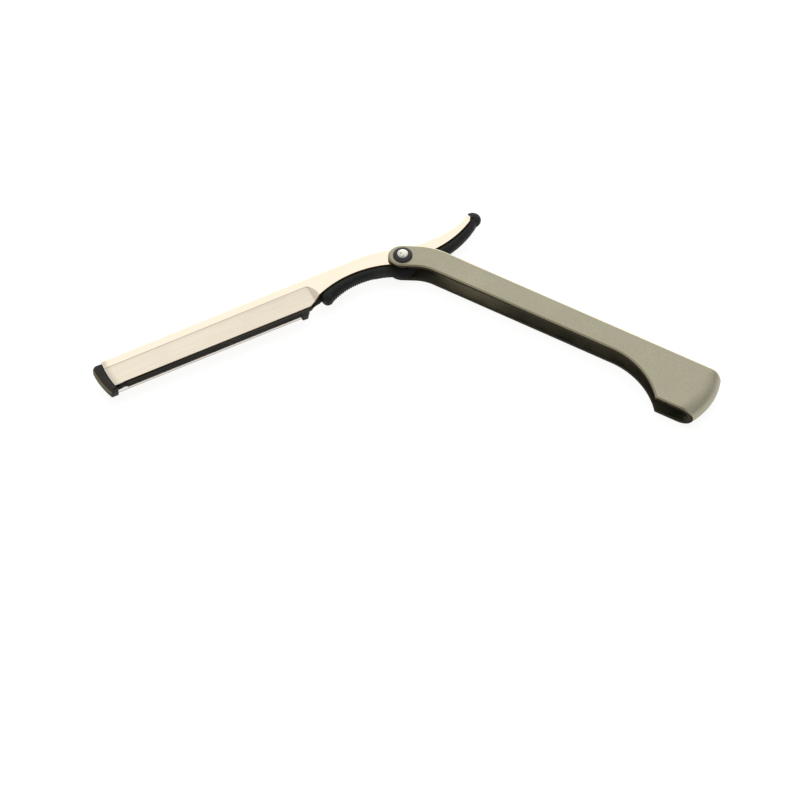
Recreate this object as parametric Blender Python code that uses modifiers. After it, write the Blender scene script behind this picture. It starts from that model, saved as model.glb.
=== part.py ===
# Folding hair styling razor, lying on its side, half open.
# Metres, +Z up. The origin is on the pivot's axis, on the small flat of the lower rivet head.
# The handle and the arm are each drawn in their own plan, with the pivot at 0, 0 and the
# middle of the razor's thickness at z = 0, and are turned to the rest pose by an empty.

import math

import bmesh
import bpy
from mathutils import Vector

# Handle: one strip of sheet folded in two, with a bowed fold at the tail
TAIL_CLEARANCE = 0.0048
HANDLE_WIDTH = 0.0083
PLATE_THICKNESS = 0.0011
PLATE_GAP = 0.0049
BOSS_LEAD = 0.0040
BOSS_REACH = 0.0045
BOSS_SLOPE = math.radians(27.5)
NECK_RADIUS = 0.0164
ARCH_LENGTH = 0.0342
HOOK_LENGTH = 0.0144
HOOK_ARCH_RADIUS = 0.0251
HOOK_DROP = 0.0003
TAIL_BOW_RADIUS = 0.022
TAIL_BOW_CENTRE = -0.0007
TAIL_EDGE_INSET = 0.0003
TAIL_NOSE_LENGTH = 0.0050
TAIL_CORNER_TIGHTENING = 0.0020
TAIL_CORNER_WIDTH = 0.0034

# Pivot: rivet, cup washers, friction washers and bush
RIVET_RADIUS = 0.00125
RIVET_HEAD_RADIUS = 0.00165
RIVET_HEAD_RISE = 0.00125
RIVET_HEAD_EDGE = 0.0008
RIVET_FLAT_RADIUS = 0.0006
CUP_WASHER_RADIUS = 0.0030
CUP_WASHER_RIM = 0.0002
FRICTION_WASHER_RADIUS = 0.0034
FRICTION_WASHER_THICKNESS = 0.00015
BUSH_WALL = 0.0006
RUNNING_GAP = 0.00005
SEAT_GAP = 0.00005

# Blade: a plain strip of steel with one ground edge and two round holes
BLADE_LENGTH = 0.062
BLADE_WIDTH = 0.0080
BLADE_THICKNESS = 0.00025
BLADE_GRIND = 0.0009
BLADE_EDGE_FLAT = 0.00002
BLADE_HOLE_RADIUS = 0.0012
BLADE_HOLE_INSET = 0.010
BLADE_HOLE_BACK = 0.0026
BLADE_EDGE_Y = 0.0053

# Slider: the black moulding that carries the blade inside the cover
SHANK_LENGTH = 0.0349
HEEL_BLOCK_LENGTH = 0.0026
CAP_LENGTH = 0.0040
CAP_WIDTH = 0.0029
BLADE_END_COVER = 0.0007
BLADE_EXPOSURE = 0.0011
BLOCK_OVERHANG = 0.0001
GUARD_BEVEL = 0.0003
NOTCH_LENGTH = 0.0024
NOTCH_DEPTH = 0.0004
NOTCH_RAMP = 0.0005
HEEL_TAIL_LENGTH = 0.0022
HEEL_RISE_SHARE = 0.6
CAP_BOW_RADIUS = 0.027
CAP_BOW_CENTRE = -0.003
CAP_TOP_DROP = 0.0009
CAP_CORNER = 0.0018
STRIP_WALL = 0.0005
BEAD_RISE = 0.00025
BEAD_WIDTH = 0.0008
BEAD_LAP = 0.0001
SLOT_GAP = 0.00005
STUD_GAP = 0.0001
SHEET_GAP = 0.00015

# Cover: one stainless sheet folded over the spine, with a panel pressed in on each side
SHEET_THICKNESS = 0.0004
SPINE_Y = -0.00715
COVER_EDGE_Y = 0.0033
TIP_HALF = 0.0015
PANEL_EDGE_HALF = 0.00115
FOLD_RADIUS = 0.0012
FOLD_LIMIT_SHARE = 0.35
BAND_WIDTH = 0.00345
BAND_LIMIT_SHARE = 0.5
PANEL_HEEL_LEAD = 0.0047
PANEL_SLOPE_LENGTH = 0.0017
PANEL_HEEL_BOW = 0.0022
COVER_BOW_RADIUS = 0.030
COVER_BOW_SHARE = 0.3
TANG_LENGTH = 0.0298
TANG_TIP_LENGTH = 0.0033
TANG_TIP_RISE = 0.0009
SHANK_ARCH_RADIUS = 0.0328
SHANK_ARCH_X = 0.0159
SHANK_ARCH_Y = -0.0016
TANG_EDGE_RADIUS = 0.033
TANG_EDGE_X = -0.0077
TANG_EDGE_Y = 0.00155
TANG_SPINE_RADIUS = 0.035
TANG_SPINE_X = -0.0117
TANG_SPINE_Y = -0.0034
SPINE_FALL_START = 0.011
SPINE_FALL_END = -0.009
COVER_BOSS_RADIUS = 0.0038
BOSS_BLEND = 0.001

# Core: the black grip moulding, finger rest at the front and tang rest at the back
CORE_INSET = 0.0001
CORE_BACK_INSET = 0.0017
CORE_LIP = 0.00015
LUMP_LEAD = 0.0065
LUMP_LENGTH = 0.0014
LUMP_Y = 0.0041
TONGUE_LENGTH = 0.0034
TONGUE_RISE = 0.0002
PAD_RADIUS = 0.0229
PAD_X = 0.0146
PAD_Y = 0.0008
TANG_PAD_X = -0.0068
TANG_PAD_Y = 0.0042
TANG_PAD_RADIUS = 0.0303
CORE_BOSS_RADIUS = 0.0046
RIB_PITCH = 0.0008
RIB_DEPTH = 0.00022
PAD_RIB_START = 0.0098
TANG_RIB_START = -0.0125
TANG_RIB_END = -0.0252

# Rest pose, as turns about the pivot seen from above
HANDLE_TURN = math.radians(-29.9)
ARM_TURN = math.radians(207.7)

# One overrun for every cutter
OVERRUN = 0.001

# Worked out from the sizes above
HALF_GAP = PLATE_GAP / 2
HALF_HEIGHT = HALF_GAP + PLATE_THICKNESS
MIDDLE_Z = HALF_HEIGHT + RIVET_HEAD_RISE
HALF_WIDTH = HANDLE_WIDTH / 2
BUSH_BORE = RIVET_RADIUS + RUNNING_GAP
BUSH_RADIUS = BUSH_BORE + BUSH_WALL
SHANK_HALF = HALF_GAP - SEAT_GAP - FRICTION_WASHER_THICKNESS - RUNNING_GAP
CORE_HALF = SHANK_HALF - CORE_INSET
STRIP_HALF = PANEL_EDGE_HALF - SHEET_THICKNESS - SHEET_GAP
BEAD_HALF = STRIP_HALF + BEAD_RISE
GUARD_HALF = PANEL_EDGE_HALF
PANEL_HEEL_X = SHANK_LENGTH - PANEL_HEEL_LEAD
LUMP_X = SHANK_LENGTH - LUMP_LEAD
BLADE_START = SHANK_LENGTH + HEEL_BLOCK_LENGTH - BLADE_END_COVER
BLADE_END = BLADE_START + BLADE_LENGTH
BLADE_BACK_Y = BLADE_EDGE_Y - BLADE_WIDTH
STRIP_BACK_Y = BLADE_BACK_Y - STRIP_WALL
TOE_START = BLADE_END - BLADE_END_COVER
TIP_X = TOE_START + CAP_LENGTH
HANDLE_LENGTH = TIP_X + TAIL_CLEARANCE
COVER_END = TIP_X - CAP_WIDTH - SHEET_GAP
GUARD_Y = BLADE_EDGE_Y - BLADE_EXPOSURE
BLOCK_Y = BLADE_EDGE_Y + BLOCK_OVERHANG
COVER_TANG_X = -TANG_LENGTH + TANG_TIP_LENGTH
TANG_TIP_X = COVER_TANG_X - SHEET_THICKNESS
COLUMNS_FINE = 0.0009
COLUMNS_COARSE = 0.006
WELD = 0.00001

for old in list(bpy.data.objects):
    bpy.data.objects.remove(old, do_unlink=True)

parts = bpy.data.collections.new("hair_styling_razor")
cutters = bpy.data.collections.new("cutters")
bpy.context.scene.collection.children.link(parts)
bpy.context.scene.collection.children.link(cutters)


def material(name, colour, roughness, metallic):
    """A plain Principled material."""
    made = bpy.data.materials.new(name)
    made.use_nodes = True
    shader = made.node_tree.nodes["Principled BSDF"]
    shader.inputs["Base Color"].default_value = (*colour, 1.0)
    shader.inputs["Roughness"].default_value = roughness
    shader.inputs["Metallic"].default_value = metallic
    return made


SATIN_ALUMINIUM = material("satin_aluminium", (0.39, 0.36, 0.28), 0.45, 1.0)
POLISHED_STEEL = material("polished_steel", (0.82, 0.80, 0.76), 0.18, 1.0)
RIVET_STEEL = material("rivet_steel", (0.85, 0.85, 0.84), 0.12, 1.0)
BLADE_STEEL = material("blade_steel", (0.75, 0.75, 0.76), 0.2, 1.0)
BLACK_PLASTIC = material("black_plastic", (0.02, 0.02, 0.02), 0.45, 0.0)
BLACK_WASHER = material("black_washer", (0.015, 0.015, 0.015), 0.3, 0.0)
NYLON = material("nylon", (0.75, 0.73, 0.68), 0.6, 0.0)
BRASS = material("brass", (0.70, 0.50, 0.22), 0.35, 1.0)


def frame(name, turn):
    """An empty on the pivot's axis, at mid thickness, turned to the rest pose."""
    empty = bpy.data.objects.new(name, None)
    empty.location = (0, 0, MIDDLE_Z)
    empty.rotation_euler = (0, 0, turn)
    parts.objects.link(empty)
    return empty


handle_frame = frame("handle_frame", HANDLE_TURN)
arm_frame = frame("arm_frame", ARM_TURN)


def add(name, mesh, parent, finish, cutter=False):
    """Puts a mesh in the scene as a part, or as a cutter, in its frame."""
    made = bpy.data.objects.new(name, mesh)
    made.parent = parent
    if cutter:
        made.hide_render = True
        made.display_type = "WIRE"
        cutters.objects.link(made)
    else:
        mesh.materials.append(finish)
        parts.objects.link(made)
    return made


def mesh_from(name, build):
    """Runs build on a new bmesh and keeps the result as a mesh."""
    grown = bmesh.new()
    build(grown)
    mesh = bpy.data.meshes.new(name)
    grown.to_mesh(mesh)
    grown.free()
    return mesh


def boolean(target, operation, tool):
    """One exact Boolean modifier."""
    change = target.modifiers.new(operation.lower(), "BOOLEAN")
    change.operation = operation
    change.solver = "EXACT"
    change.object = tool
    return change


def mirror_over_middle(target):
    """Mirrors a half that is open at z = 0."""
    change = target.modifiers.new("mirror", "MIRROR")
    change.use_axis = (False, False, True)
    change.merge_threshold = WELD
    return change


def cylinder(name, radius, half, x, y, parent):
    """An upright round cutter, half its height above and below the middle."""
    mesh = mesh_from(
        name,
        lambda grown: bmesh.ops.create_cone(
            grown, cap_ends=True, segments=40, radius1=radius, radius2=radius, depth=2 * half
        ),
    )
    made = add(name, mesh, parent, None, cutter=True)
    made.location = (x, y, 0)
    return made


def outline_solid(name, points, low, high, parent, finish, cutter=False, bevel=0.0):
    """A flat outline, filled and extruded from low to high, with its rims bevelled if asked."""
    curve = bpy.data.curves.new(name, "CURVE")
    curve.dimensions = "2D"
    curve.fill_mode = "BOTH"
    curve.extrude = (high - low) / 2
    line = curve.splines.new("POLY")
    line.points.add(len(points) - 1)
    for target, (x, y) in zip(line.points, points):
        target.co = (x, y, 0, 1)
    line.use_cyclic_u = True
    drawn = bpy.data.objects.new(name + "_curve", curve)
    drawn.location = (0, 0, (high + low) / 2)
    parts.objects.link(drawn)
    bpy.context.view_layer.update()
    seen = drawn.evaluated_get(bpy.context.evaluated_depsgraph_get())
    mesh = bpy.data.meshes.new_from_object(seen)
    mesh.transform(drawn.matrix_world)
    bpy.data.objects.remove(drawn, do_unlink=True)
    welded = bmesh.new()
    welded.from_mesh(mesh)
    bmesh.ops.remove_doubles(welded, verts=welded.verts, dist=WELD)
    bmesh.ops.recalc_face_normals(welded, faces=welded.faces)
    welded.to_mesh(mesh)
    welded.free()
    mesh.materials.clear()
    made = add(name, mesh, parent, finish, cutter)
    if bevel:
        weights = mesh.attributes.new("bevel_weight_edge", "FLOAT", "EDGE")
        for edge in mesh.edges:
            first, second = (mesh.vertices[i].co.z for i in edge.vertices)
            weights.data[edge.index].value = 1.0 if abs(first - second) < WELD else 0.0
        change = made.modifiers.new("bevel", "BEVEL")
        change.width = bevel
        change.segments = 2
        change.limit_method = "WEIGHT"
    return made


def turned(name, profile, parent, finish, steps=40):
    """A closed profile of (radius, height) points, outer side top to bottom, turned about Z."""
    mesh = bpy.data.meshes.new(name)
    count = len(profile)
    edges = [(i, (i + 1) % count) for i in range(count)]
    on_axis = profile[0][0] == 0 and profile[-1][0] == 0
    if on_axis:
        edges = edges[:-1]
    mesh.from_pydata([(r, 0, z) for r, z in profile], edges, [])
    made = add(name, mesh, parent, finish)
    screw = made.modifiers.new("turn", "SCREW")
    screw.steps = steps
    screw.render_steps = steps
    screw.use_merge_vertices = True
    screw.merge_threshold = WELD
    return made


def smooth(mesh, angle=math.radians(35)):
    """Smooth shading that keeps real corners sharp."""
    mesh.shade_smooth()
    mesh.set_sharp_from_angle(angle=angle)


def between(low, high, share):
    """The value at a share of the way from low to high."""
    return low + (high - low) * share


def ease(share):
    """A smooth step from 0 to 1."""
    share = min(max(share, 0.0), 1.0)
    return share * share * (3 - 2 * share)


def steps_from(start, end, longest):
    """Evenly spaced values from start to end, no further apart than longest."""
    count = max(1, math.ceil(abs(end - start) / longest - 1e-6))
    return [between(start, end, i / count) for i in range(count + 1)]


def skin(grown, rows):
    """Faces between neighbouring rows of points, which all have the same length."""
    grid = [[grown.verts.new(point) for point in row] for row in rows]
    for low, high in zip(grid, grid[1:]):
        for j in range(len(low) - 1):
            grown.faces.new((low[j], high[j], high[j + 1], low[j + 1]))
    return grid


# Handle strip: the upper half of the folded strip as a sheet, mirrored, then made solid inward


def neck_point(s):
    """The strip's centre line at s along it, and the unit direction across it."""
    turn = min(max((s - BOSS_LEAD) / NECK_RADIUS, 0.0), BOSS_SLOPE)
    start_x = BOSS_LEAD * math.cos(BOSS_SLOPE)
    start_y = BOSS_LEAD * math.sin(BOSS_SLOPE)
    slope = BOSS_SLOPE - turn
    lead = min(s, BOSS_LEAD)
    if s <= BOSS_LEAD:
        x, y = lead * math.cos(BOSS_SLOPE), lead * math.sin(BOSS_SLOPE)
    else:
        x = start_x + NECK_RADIUS * (math.sin(BOSS_SLOPE) - math.sin(slope))
        y = start_y + NECK_RADIUS * (math.cos(slope) - math.cos(BOSS_SLOPE))
        x += max(0.0, s - BOSS_LEAD - NECK_RADIUS * BOSS_SLOPE)
    return x, y, (-math.sin(slope), math.cos(slope))


NECK_END = BOSS_LEAD + NECK_RADIUS * BOSS_SLOPE
NECK_END_X, STRIP_Y, _ = neck_point(NECK_END)
HOOK_X = HANDLE_LENGTH - HOOK_LENGTH
HOOK_ARCH_X = HANDLE_LENGTH - ARCH_LENGTH
NEAR_Y = STRIP_Y - HALF_WIDTH
FAR_Y = STRIP_Y + HALF_WIDTH
HOOK_RUN = min(HOOK_X - HOOK_ARCH_X, HOOK_ARCH_RADIUS)
HOOK_Y = NEAR_Y - HOOK_ARCH_RADIUS + math.sqrt(HOOK_ARCH_RADIUS**2 - HOOK_RUN**2) - HOOK_DROP


def near_edge(x):
    """The near edge of the straight part: plain, then an arch down to the hook, then straight."""
    if x <= HOOK_ARCH_X:
        return NEAR_Y
    if x >= HOOK_X:
        return HOOK_Y
    return NEAR_Y - HOOK_ARCH_RADIUS + math.sqrt(HOOK_ARCH_RADIUS**2 - (x - HOOK_ARCH_X) ** 2)


def tail_bow(y):
    """How far the fold stands back from the tail's furthest point."""
    return (y - TAIL_BOW_CENTRE) ** 2 / (2 * TAIL_BOW_RADIUS)


ACROSS = 10


def handle_rows():
    """Rows of points across the upper plate, from the boss to the middle of the fold."""
    rows = []
    quarter = math.pi / 2
    for i in range(9):
        s = -BOSS_REACH * math.cos(quarter * i / 8)
        half = HALF_WIDTH * math.sin(quarter * i / 8)
        rows.append(strip_row(s, half))
    for s in steps_from(0, NECK_END, COLUMNS_FINE)[1:]:
        rows.append(strip_row(s, HALF_WIDTH))
    straight = steps_from(NECK_END_X, HOOK_ARCH_X, COLUMNS_COARSE)[1:]
    arch = [between(HOOK_ARCH_X, HOOK_X, math.sin(quarter * i / 9)) for i in range(1, 10)]
    for x in straight + arch[:-1]:
        rows.append([(x, between(near_edge(x), FAR_Y, j / ACROSS), HALF_HEIGHT) for j in range(ACROSS + 1)])
    for share in (0.0, 0.5, 1.0):
        rows.append([hook_point(j / ACROSS, share, 0.0) for j in range(ACROSS + 1)])
    for i in range(1, 9):
        rows.append([hook_point(j / ACROSS, 1.0, quarter * i / 8) for j in range(ACROSS + 1)])
    return rows


def strip_row(s, half):
    """One row square to the centre line."""
    x, y, (nx, ny) = neck_point(s)
    return [
        (x + nx * between(-half, half, j / ACROSS), y + ny * between(-half, half, j / ACROSS), HALF_HEIGHT)
        for j in range(ACROSS + 1)
    ]


def hook_point(across, share, bend):
    """A point of the wide tail: along the plate by share, then round the fold by bend."""
    far = FAR_Y - TAIL_EDGE_INSET * math.sin(bend) ** 2
    y = between(HOOK_Y, far, across)
    nose = TAIL_NOSE_LENGTH - TAIL_CORNER_TIGHTENING * ease((y - FAR_Y) / TAIL_CORNER_WIDTH + 1)
    fold_x = HANDLE_LENGTH - tail_bow(y) - nose
    x = between(HOOK_X, fold_x, share) + nose * math.sin(bend)
    return x, y, HALF_HEIGHT * math.cos(bend)


def grow_handle(grown):
    """The sheet's outer face."""
    skin(grown, handle_rows())
    bmesh.ops.remove_doubles(grown, verts=grown.verts, dist=WELD)


handle_strip = add("handle_strip", mesh_from("handle_strip", grow_handle), handle_frame, SATIN_ALUMINIUM)
mirror_over_middle(handle_strip)
handle_sheet = handle_strip.modifiers.new("sheet", "SOLIDIFY")
handle_sheet.thickness = PLATE_THICKNESS
handle_sheet.offset = -1.0
handle_sheet.use_even_offset = True
boolean(
    handle_strip,
    "DIFFERENCE",
    cylinder("rivet_hole_cutter", BUSH_BORE, HALF_HEIGHT + OVERRUN, 0, 0, handle_frame),
)

# Rivet with a domed head at each end, and a small flat on each head
HEAD_TOP = HALF_HEIGHT + RIVET_HEAD_RISE
HEAD_FOOT = HALF_HEIGHT + RIVET_HEAD_EDGE
DOME_RISE = HEAD_TOP - HEAD_FOOT


def head_profile():
    """Half of the rivet's outline, from the middle of the head's flat to the shank's middle."""
    points = [(0, HEAD_TOP), (RIVET_FLAT_RADIUS, HEAD_TOP)]
    for i in range(1, 7):
        share = i / 6
        radius = between(RIVET_FLAT_RADIUS, RIVET_HEAD_RADIUS, math.sin(share * math.pi / 2))
        points.append((radius, HEAD_FOOT + DOME_RISE * math.cos(share * math.pi / 2)))
    points.append((RIVET_RADIUS, HEAD_FOOT))
    return points


upper_head = head_profile()
lower_head = [(r, -z) for r, z in reversed(upper_head)]
pivot_rivet = turned("pivot_rivet", upper_head + lower_head, handle_frame, RIVET_STEEL)

# Cup washers: a domed black collar under each rivet head


def cup_washer(name, side):
    """One collar, seated on the upper plate for side 1 and on the lower plate for side -1."""
    foot = HALF_HEIGHT + SEAT_GAP
    top = HEAD_FOOT - SEAT_GAP
    rim = foot + CUP_WASHER_RIM
    profile = [(BUSH_BORE, top), (RIVET_HEAD_RADIUS, top)]
    for i in range(1, 6):
        share = i / 5 * math.pi / 2
        radius = between(RIVET_HEAD_RADIUS, CUP_WASHER_RADIUS, math.sin(share))
        profile.append((radius, rim + (top - rim) * math.cos(share)))
    profile += [(CUP_WASHER_RADIUS, foot), (BUSH_BORE, foot)]
    if side < 0:
        profile = [(r, -z) for r, z in reversed(profile)]
    return turned(name, profile, handle_frame, BLACK_WASHER)


upper_cup_washer = cup_washer("upper_cup_washer", 1)
lower_cup_washer = cup_washer("lower_cup_washer", -1)


# Friction washers: thin rings that fill the space between the arm and the plates


def friction_washer(name, side):
    """One thin ring between the arm and a plate."""
    high = HALF_GAP - SEAT_GAP
    low = high - FRICTION_WASHER_THICKNESS
    outer, inner = FRICTION_WASHER_RADIUS, BUSH_BORE
    profile = [(inner, high), (outer, high), (outer, low), (inner, low)]
    if side < 0:
        profile = [(r, -z) for r, z in reversed(profile)]
    return turned(name, profile, handle_frame, NYLON)


upper_friction_washer = friction_washer("upper_friction_washer", 1)
lower_friction_washer = friction_washer("lower_friction_washer", -1)

# Bush: the arm's own bearing on the rivet
bush_profile = [(BUSH_BORE, SHANK_HALF), (BUSH_RADIUS, SHANK_HALF)]
bush_profile += [(BUSH_RADIUS, -SHANK_HALF), (BUSH_BORE, -SHANK_HALF)]
pivot_bush = turned("pivot_bush", bush_profile, arm_frame, BRASS)


# Plan of the arm: x towards the tip, y towards the cutting edge


def arc_y(x, centre_x, apex_y, radius, side):
    """An arc with its apex at centre_x, apex_y. It falls away towards side."""
    reach = min(abs(x - centre_x), radius * 0.98)
    return apex_y + side * (radius - math.sqrt(radius**2 - reach**2))


def boss_y(x, radius):
    """The edge of a round boss about the pivot, falling away beside it."""
    return math.sqrt(max(radius**2 - x**2, 0.0)) - max(abs(x) - radius, 0.0)


def blend_max(first, second):
    """The larger of two edges, with the corner between them rounded."""
    return (first + second + math.hypot(first - second, BOSS_BLEND)) / 2


def spine_y(x):
    """The cover's folded spine: straight, then falling past the pivot and up along the tang."""
    tang = arc_y(min(x, TANG_SPINE_X), TANG_SPINE_X, TANG_SPINE_Y, TANG_SPINE_RADIUS, -1)
    share = ease((x - SPINE_FALL_END) / (SPINE_FALL_START - SPINE_FALL_END))
    return between(tang, SPINE_Y, share)


def edge_y(x):
    """The cover's open edge: along the blade, over the finger arch, round the boss, up the tang."""
    arch = arc_y(x, SHANK_ARCH_X, SHANK_ARCH_Y, SHANK_ARCH_RADIUS, 1)
    tang = arc_y(x, TANG_EDGE_X, TANG_EDGE_Y, TANG_EDGE_RADIUS, -1)
    shank = min(arch, COVER_EDGE_Y)
    return blend_max(shank if x > 0 else tang, boss_y(x, COVER_BOSS_RADIUS))


def band_half(x):
    """Half the thickness of the spine band, which thins towards the tip."""
    share = min(max((x - PANEL_HEEL_X) / (COVER_END - PANEL_HEEL_X), 0.0), 1.0)
    return between(SHANK_HALF, TIP_HALF, share)


def panel_weight(x):
    """0 on the shank, 1 on the pressed panel."""
    return ease((x - PANEL_HEEL_X) / PANEL_SLOPE_LENGTH + 0.5)


def cover_half(x, weight):
    """Half the cover's thickness at its open edge, for a share of the panel's depth."""
    return between(band_half(x), PANEL_EDGE_HALF, weight)


# Cover: rows from the middle of the fold to the open edge, mirrored, then made solid inward
FOLD_STEPS = 5
PANEL_STEPS = 7


def cover_section(x, weight):
    """The cover's outer face across the arm at x, as y and z from the spine to the edge."""
    top, edge = spine_y(x), edge_y(x)
    thick = band_half(x)
    fold = min(FOLD_RADIUS, (edge - top) * FOLD_LIMIT_SHARE)
    crease = top + fold + min(BAND_WIDTH - FOLD_RADIUS, (edge - top - fold) * BAND_LIMIT_SHARE)
    row = [(top, 0.0)]
    for i in range(FOLD_STEPS + 1):
        angle = math.pi / 2 * i / FOLD_STEPS
        row.append((top + fold * (1 - math.cos(angle)), thick - fold * (1 - math.sin(angle))))
    for i in range(PANEL_STEPS + 1):
        share = i / PANEL_STEPS
        drop = (thick - cover_half(x, weight)) * share
        row.append((between(crease, edge, share), thick - drop))
    return row


def cover_row(x):
    """One bowed row of the cover's outer face."""
    row = []
    for place, (nominal_y, _) in enumerate(cover_section(x, panel_weight(x))):
        bowed_x = x + column_bow(x, nominal_y)
        row.append((bowed_x, *cover_section(bowed_x, panel_weight(x))[place]))
    return row


def column_bow(x, y):
    """Bends the columns to follow the panel's round heel and the cover's bowed end."""
    heel = math.exp(-(((x - PANEL_HEEL_X) / (2 * PANEL_SLOPE_LENGTH)) ** 2))
    heel_middle = (SPINE_Y + BAND_WIDTH + COVER_EDGE_Y) / 2
    heel_reach = (COVER_EDGE_Y - SPINE_Y - BAND_WIDTH) / 2
    heel_share = min(((y - heel_middle) / heel_reach) ** 2, 1.0)
    bow_length = (COVER_END - PANEL_HEEL_X) * COVER_BOW_SHARE
    end = ease((x - COVER_END + bow_length) / bow_length)
    middle = (SPINE_Y + COVER_EDGE_Y) / 2
    return heel * heel_share * PANEL_HEEL_BOW - end * (y - middle) ** 2 / (2 * COVER_BOW_RADIUS)


def boss_columns():
    """Places of the rows across the round boss, the same for the cover and the core."""
    reach = CORE_BOSS_RADIUS + BOSS_BLEND
    return steps_from(-reach, reach, COLUMNS_FINE * 0.75)


def cover_columns():
    """Places of the cover's rows, close together where the shape turns."""
    heel_start = PANEL_HEEL_X - PANEL_SLOPE_LENGTH
    heel_end = PANEL_HEEL_X + PANEL_SLOPE_LENGTH
    boss = boss_columns()
    tang = steps_from(COVER_TANG_X, boss[0], 2 * COLUMNS_FINE)
    shank = steps_from(boss[-1], heel_start, 2 * COLUMNS_FINE)
    heel = steps_from(heel_start, heel_end, COLUMNS_FINE / 2)
    straight_start = between(heel_end, COVER_END, 0.05)
    run = steps_from(heel_end, straight_start, COLUMNS_FINE)
    panel = steps_from(straight_start, COVER_END, COLUMNS_COARSE)
    return tang + boss[1:] + shank[1:] + heel[1:] + run[1:] + panel[1:]


def grow_cover(grown):
    """The cover's outer face, on one side of the middle."""
    skin(grown, [cover_row(x) for x in cover_columns()])


steel_cover = add("steel_cover", mesh_from("steel_cover", grow_cover), arm_frame, POLISHED_STEEL)
mirror_over_middle(steel_cover)
cover_sheet = steel_cover.modifiers.new("sheet", "SOLIDIFY")
cover_sheet.thickness = SHEET_THICKNESS
cover_sheet.offset = -1.0
cover_sheet.use_even_offset = True
boolean(
    steel_cover,
    "DIFFERENCE",
    cylinder("cover_hole_cutter", BUSH_RADIUS + RUNNING_GAP, SHANK_HALF + OVERRUN, 0, 0, arm_frame),
)


# Core: a web inside the cover with a rounded, ribbed pad standing out of its open edge


def core_outer_y(x):
    """The pad's outer line: finger rest, round the boss, then the tang rest."""
    finger = arc_y(x, PAD_X, PAD_Y, PAD_RADIUS, 1)
    tang = arc_y(x, TANG_PAD_X, TANG_PAD_Y, TANG_PAD_RADIUS, -1)
    outer = min(finger, LUMP_Y) if x > 0 else tang
    return blend_max(outer, boss_y(x, CORE_BOSS_RADIUS))


def rib(x):
    """1 on a rib's crest and -1 in its groove, inside the two ribbed stretches."""
    ribbed = PAD_RIB_START < x < LUMP_X - LUMP_LENGTH or TANG_RIB_END < x < TANG_RIB_START
    return math.cos(2 * math.pi * x / RIB_PITCH) if ribbed else 1.0


def core_row(x):
    """One row of the core at x, from its back to its outer line."""
    edge = edge_y(x)
    back = spine_y(x) + CORE_BACK_INSET
    web = cover_half(x, panel_weight(x + PANEL_SLOPE_LENGTH)) - SHEET_THICKNESS - SHEET_GAP
    front = ease((LUMP_X - x) / LUMP_LENGTH)
    full = core_outer_y(min(x, LUMP_X)) + RIB_DEPTH / 2 * (rib(x) - 1)
    outer = between(edge + CORE_LIP + TONGUE_RISE, full, front)
    half = between(web + CORE_LIP, CORE_HALF, front)
    foot = edge + CORE_LIP
    row = [(back, 0.0), (back, web), (foot, web), (foot, half)]
    for i in range(1, 7):
        angle = math.pi / 2 * i / 6
        row.append((between(foot, outer, math.sin(angle)), half * math.cos(angle) ** 0.7))
    row[-1] = (outer, 0.0)
    return [(x, y, z) for y, z in row]


def core_columns():
    """Places of the core's rows: two to each rib, fewer elsewhere."""
    half_pitch = RIB_PITCH / 2
    tang_end = TANG_TIP_X - SHEET_GAP
    ribs = [half_pitch * k for k in range(round(tang_end / half_pitch) + 1, round(LUMP_X / half_pitch))]
    ribbed = [x for x in ribs if x >= PAD_RIB_START or x <= TANG_RIB_START]
    boss = boss_columns()
    before = steps_from(TANG_RIB_START, boss[0], 2 * COLUMNS_FINE)[1:]
    after = steps_from(boss[-1], PAD_RIB_START, 2 * COLUMNS_FINE)[:-1]
    smooth_part = before + boss[1:-1] + after
    front = steps_from(LUMP_X - LUMP_LENGTH, LUMP_X, LUMP_LENGTH / 4)
    tongue = [LUMP_X + TONGUE_LENGTH / 3, LUMP_X + TONGUE_LENGTH]
    inside = [x for x in ribbed if tang_end + half_pitch / 2 < x < front[0] - half_pitch / 2]
    return sorted([tang_end] + inside + smooth_part + front + tongue)


def grow_core(grown):
    """Half of the core, with flat ends."""
    grid = skin(grown, [core_row(x) for x in core_columns()])
    grown.faces.new(grid[0])
    grown.faces.new(list(reversed(grid[-1])))


grip_core = add("grip_core", mesh_from("grip_core", grow_core), arm_frame, BLACK_PLASTIC)
mirror_over_middle(grip_core)

# The rounded end of the tang, which closes the cover's end
tang_tip_top = spine_y(TANG_TIP_X) - TANG_TIP_RISE
tang_tip_foot = core_outer_y(TANG_TIP_X)


def grow_tang_tip(grown):
    """The half of an ellipsoid that lies past the cover's end."""
    bmesh.ops.create_uvsphere(grown, u_segments=28, v_segments=14, radius=1)
    size = Vector((TANG_LENGTH + TANG_TIP_X, (tang_tip_foot - tang_tip_top) / 2, CORE_HALF))
    bmesh.ops.scale(grown, vec=size, verts=grown.verts)
    everything = grown.verts[:] + grown.edges[:] + grown.faces[:]
    cut = bmesh.ops.bisect_plane(grown, geom=everything, plane_co=(0, 0, 0), plane_no=(1, 0, 0), clear_outer=True)
    rim = [item for item in cut["geom_cut"] if isinstance(item, bmesh.types.BMEdge)]
    bmesh.ops.contextual_create(grown, geom=rim)
    middle = (TANG_TIP_X, (tang_tip_foot + tang_tip_top) / 2, 0)
    bmesh.ops.translate(grown, vec=middle, verts=grown.verts)
    bmesh.ops.recalc_face_normals(grown, faces=grown.faces)


tang_tip = add("tang_tip_joiner", mesh_from("tang_tip_joiner", grow_tang_tip), arm_frame, None, cutter=True)
boolean(grip_core, "UNION", tang_tip)
boolean(
    grip_core,
    "DIFFERENCE",
    cylinder("core_hole_cutter", BUSH_RADIUS + RUNNING_GAP, SHANK_HALF + OVERRUN, 0, 0, arm_frame),
)


# Blade slider: a thin strip inside the cover, a guard outside it, a block at each end, a tip cap


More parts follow.
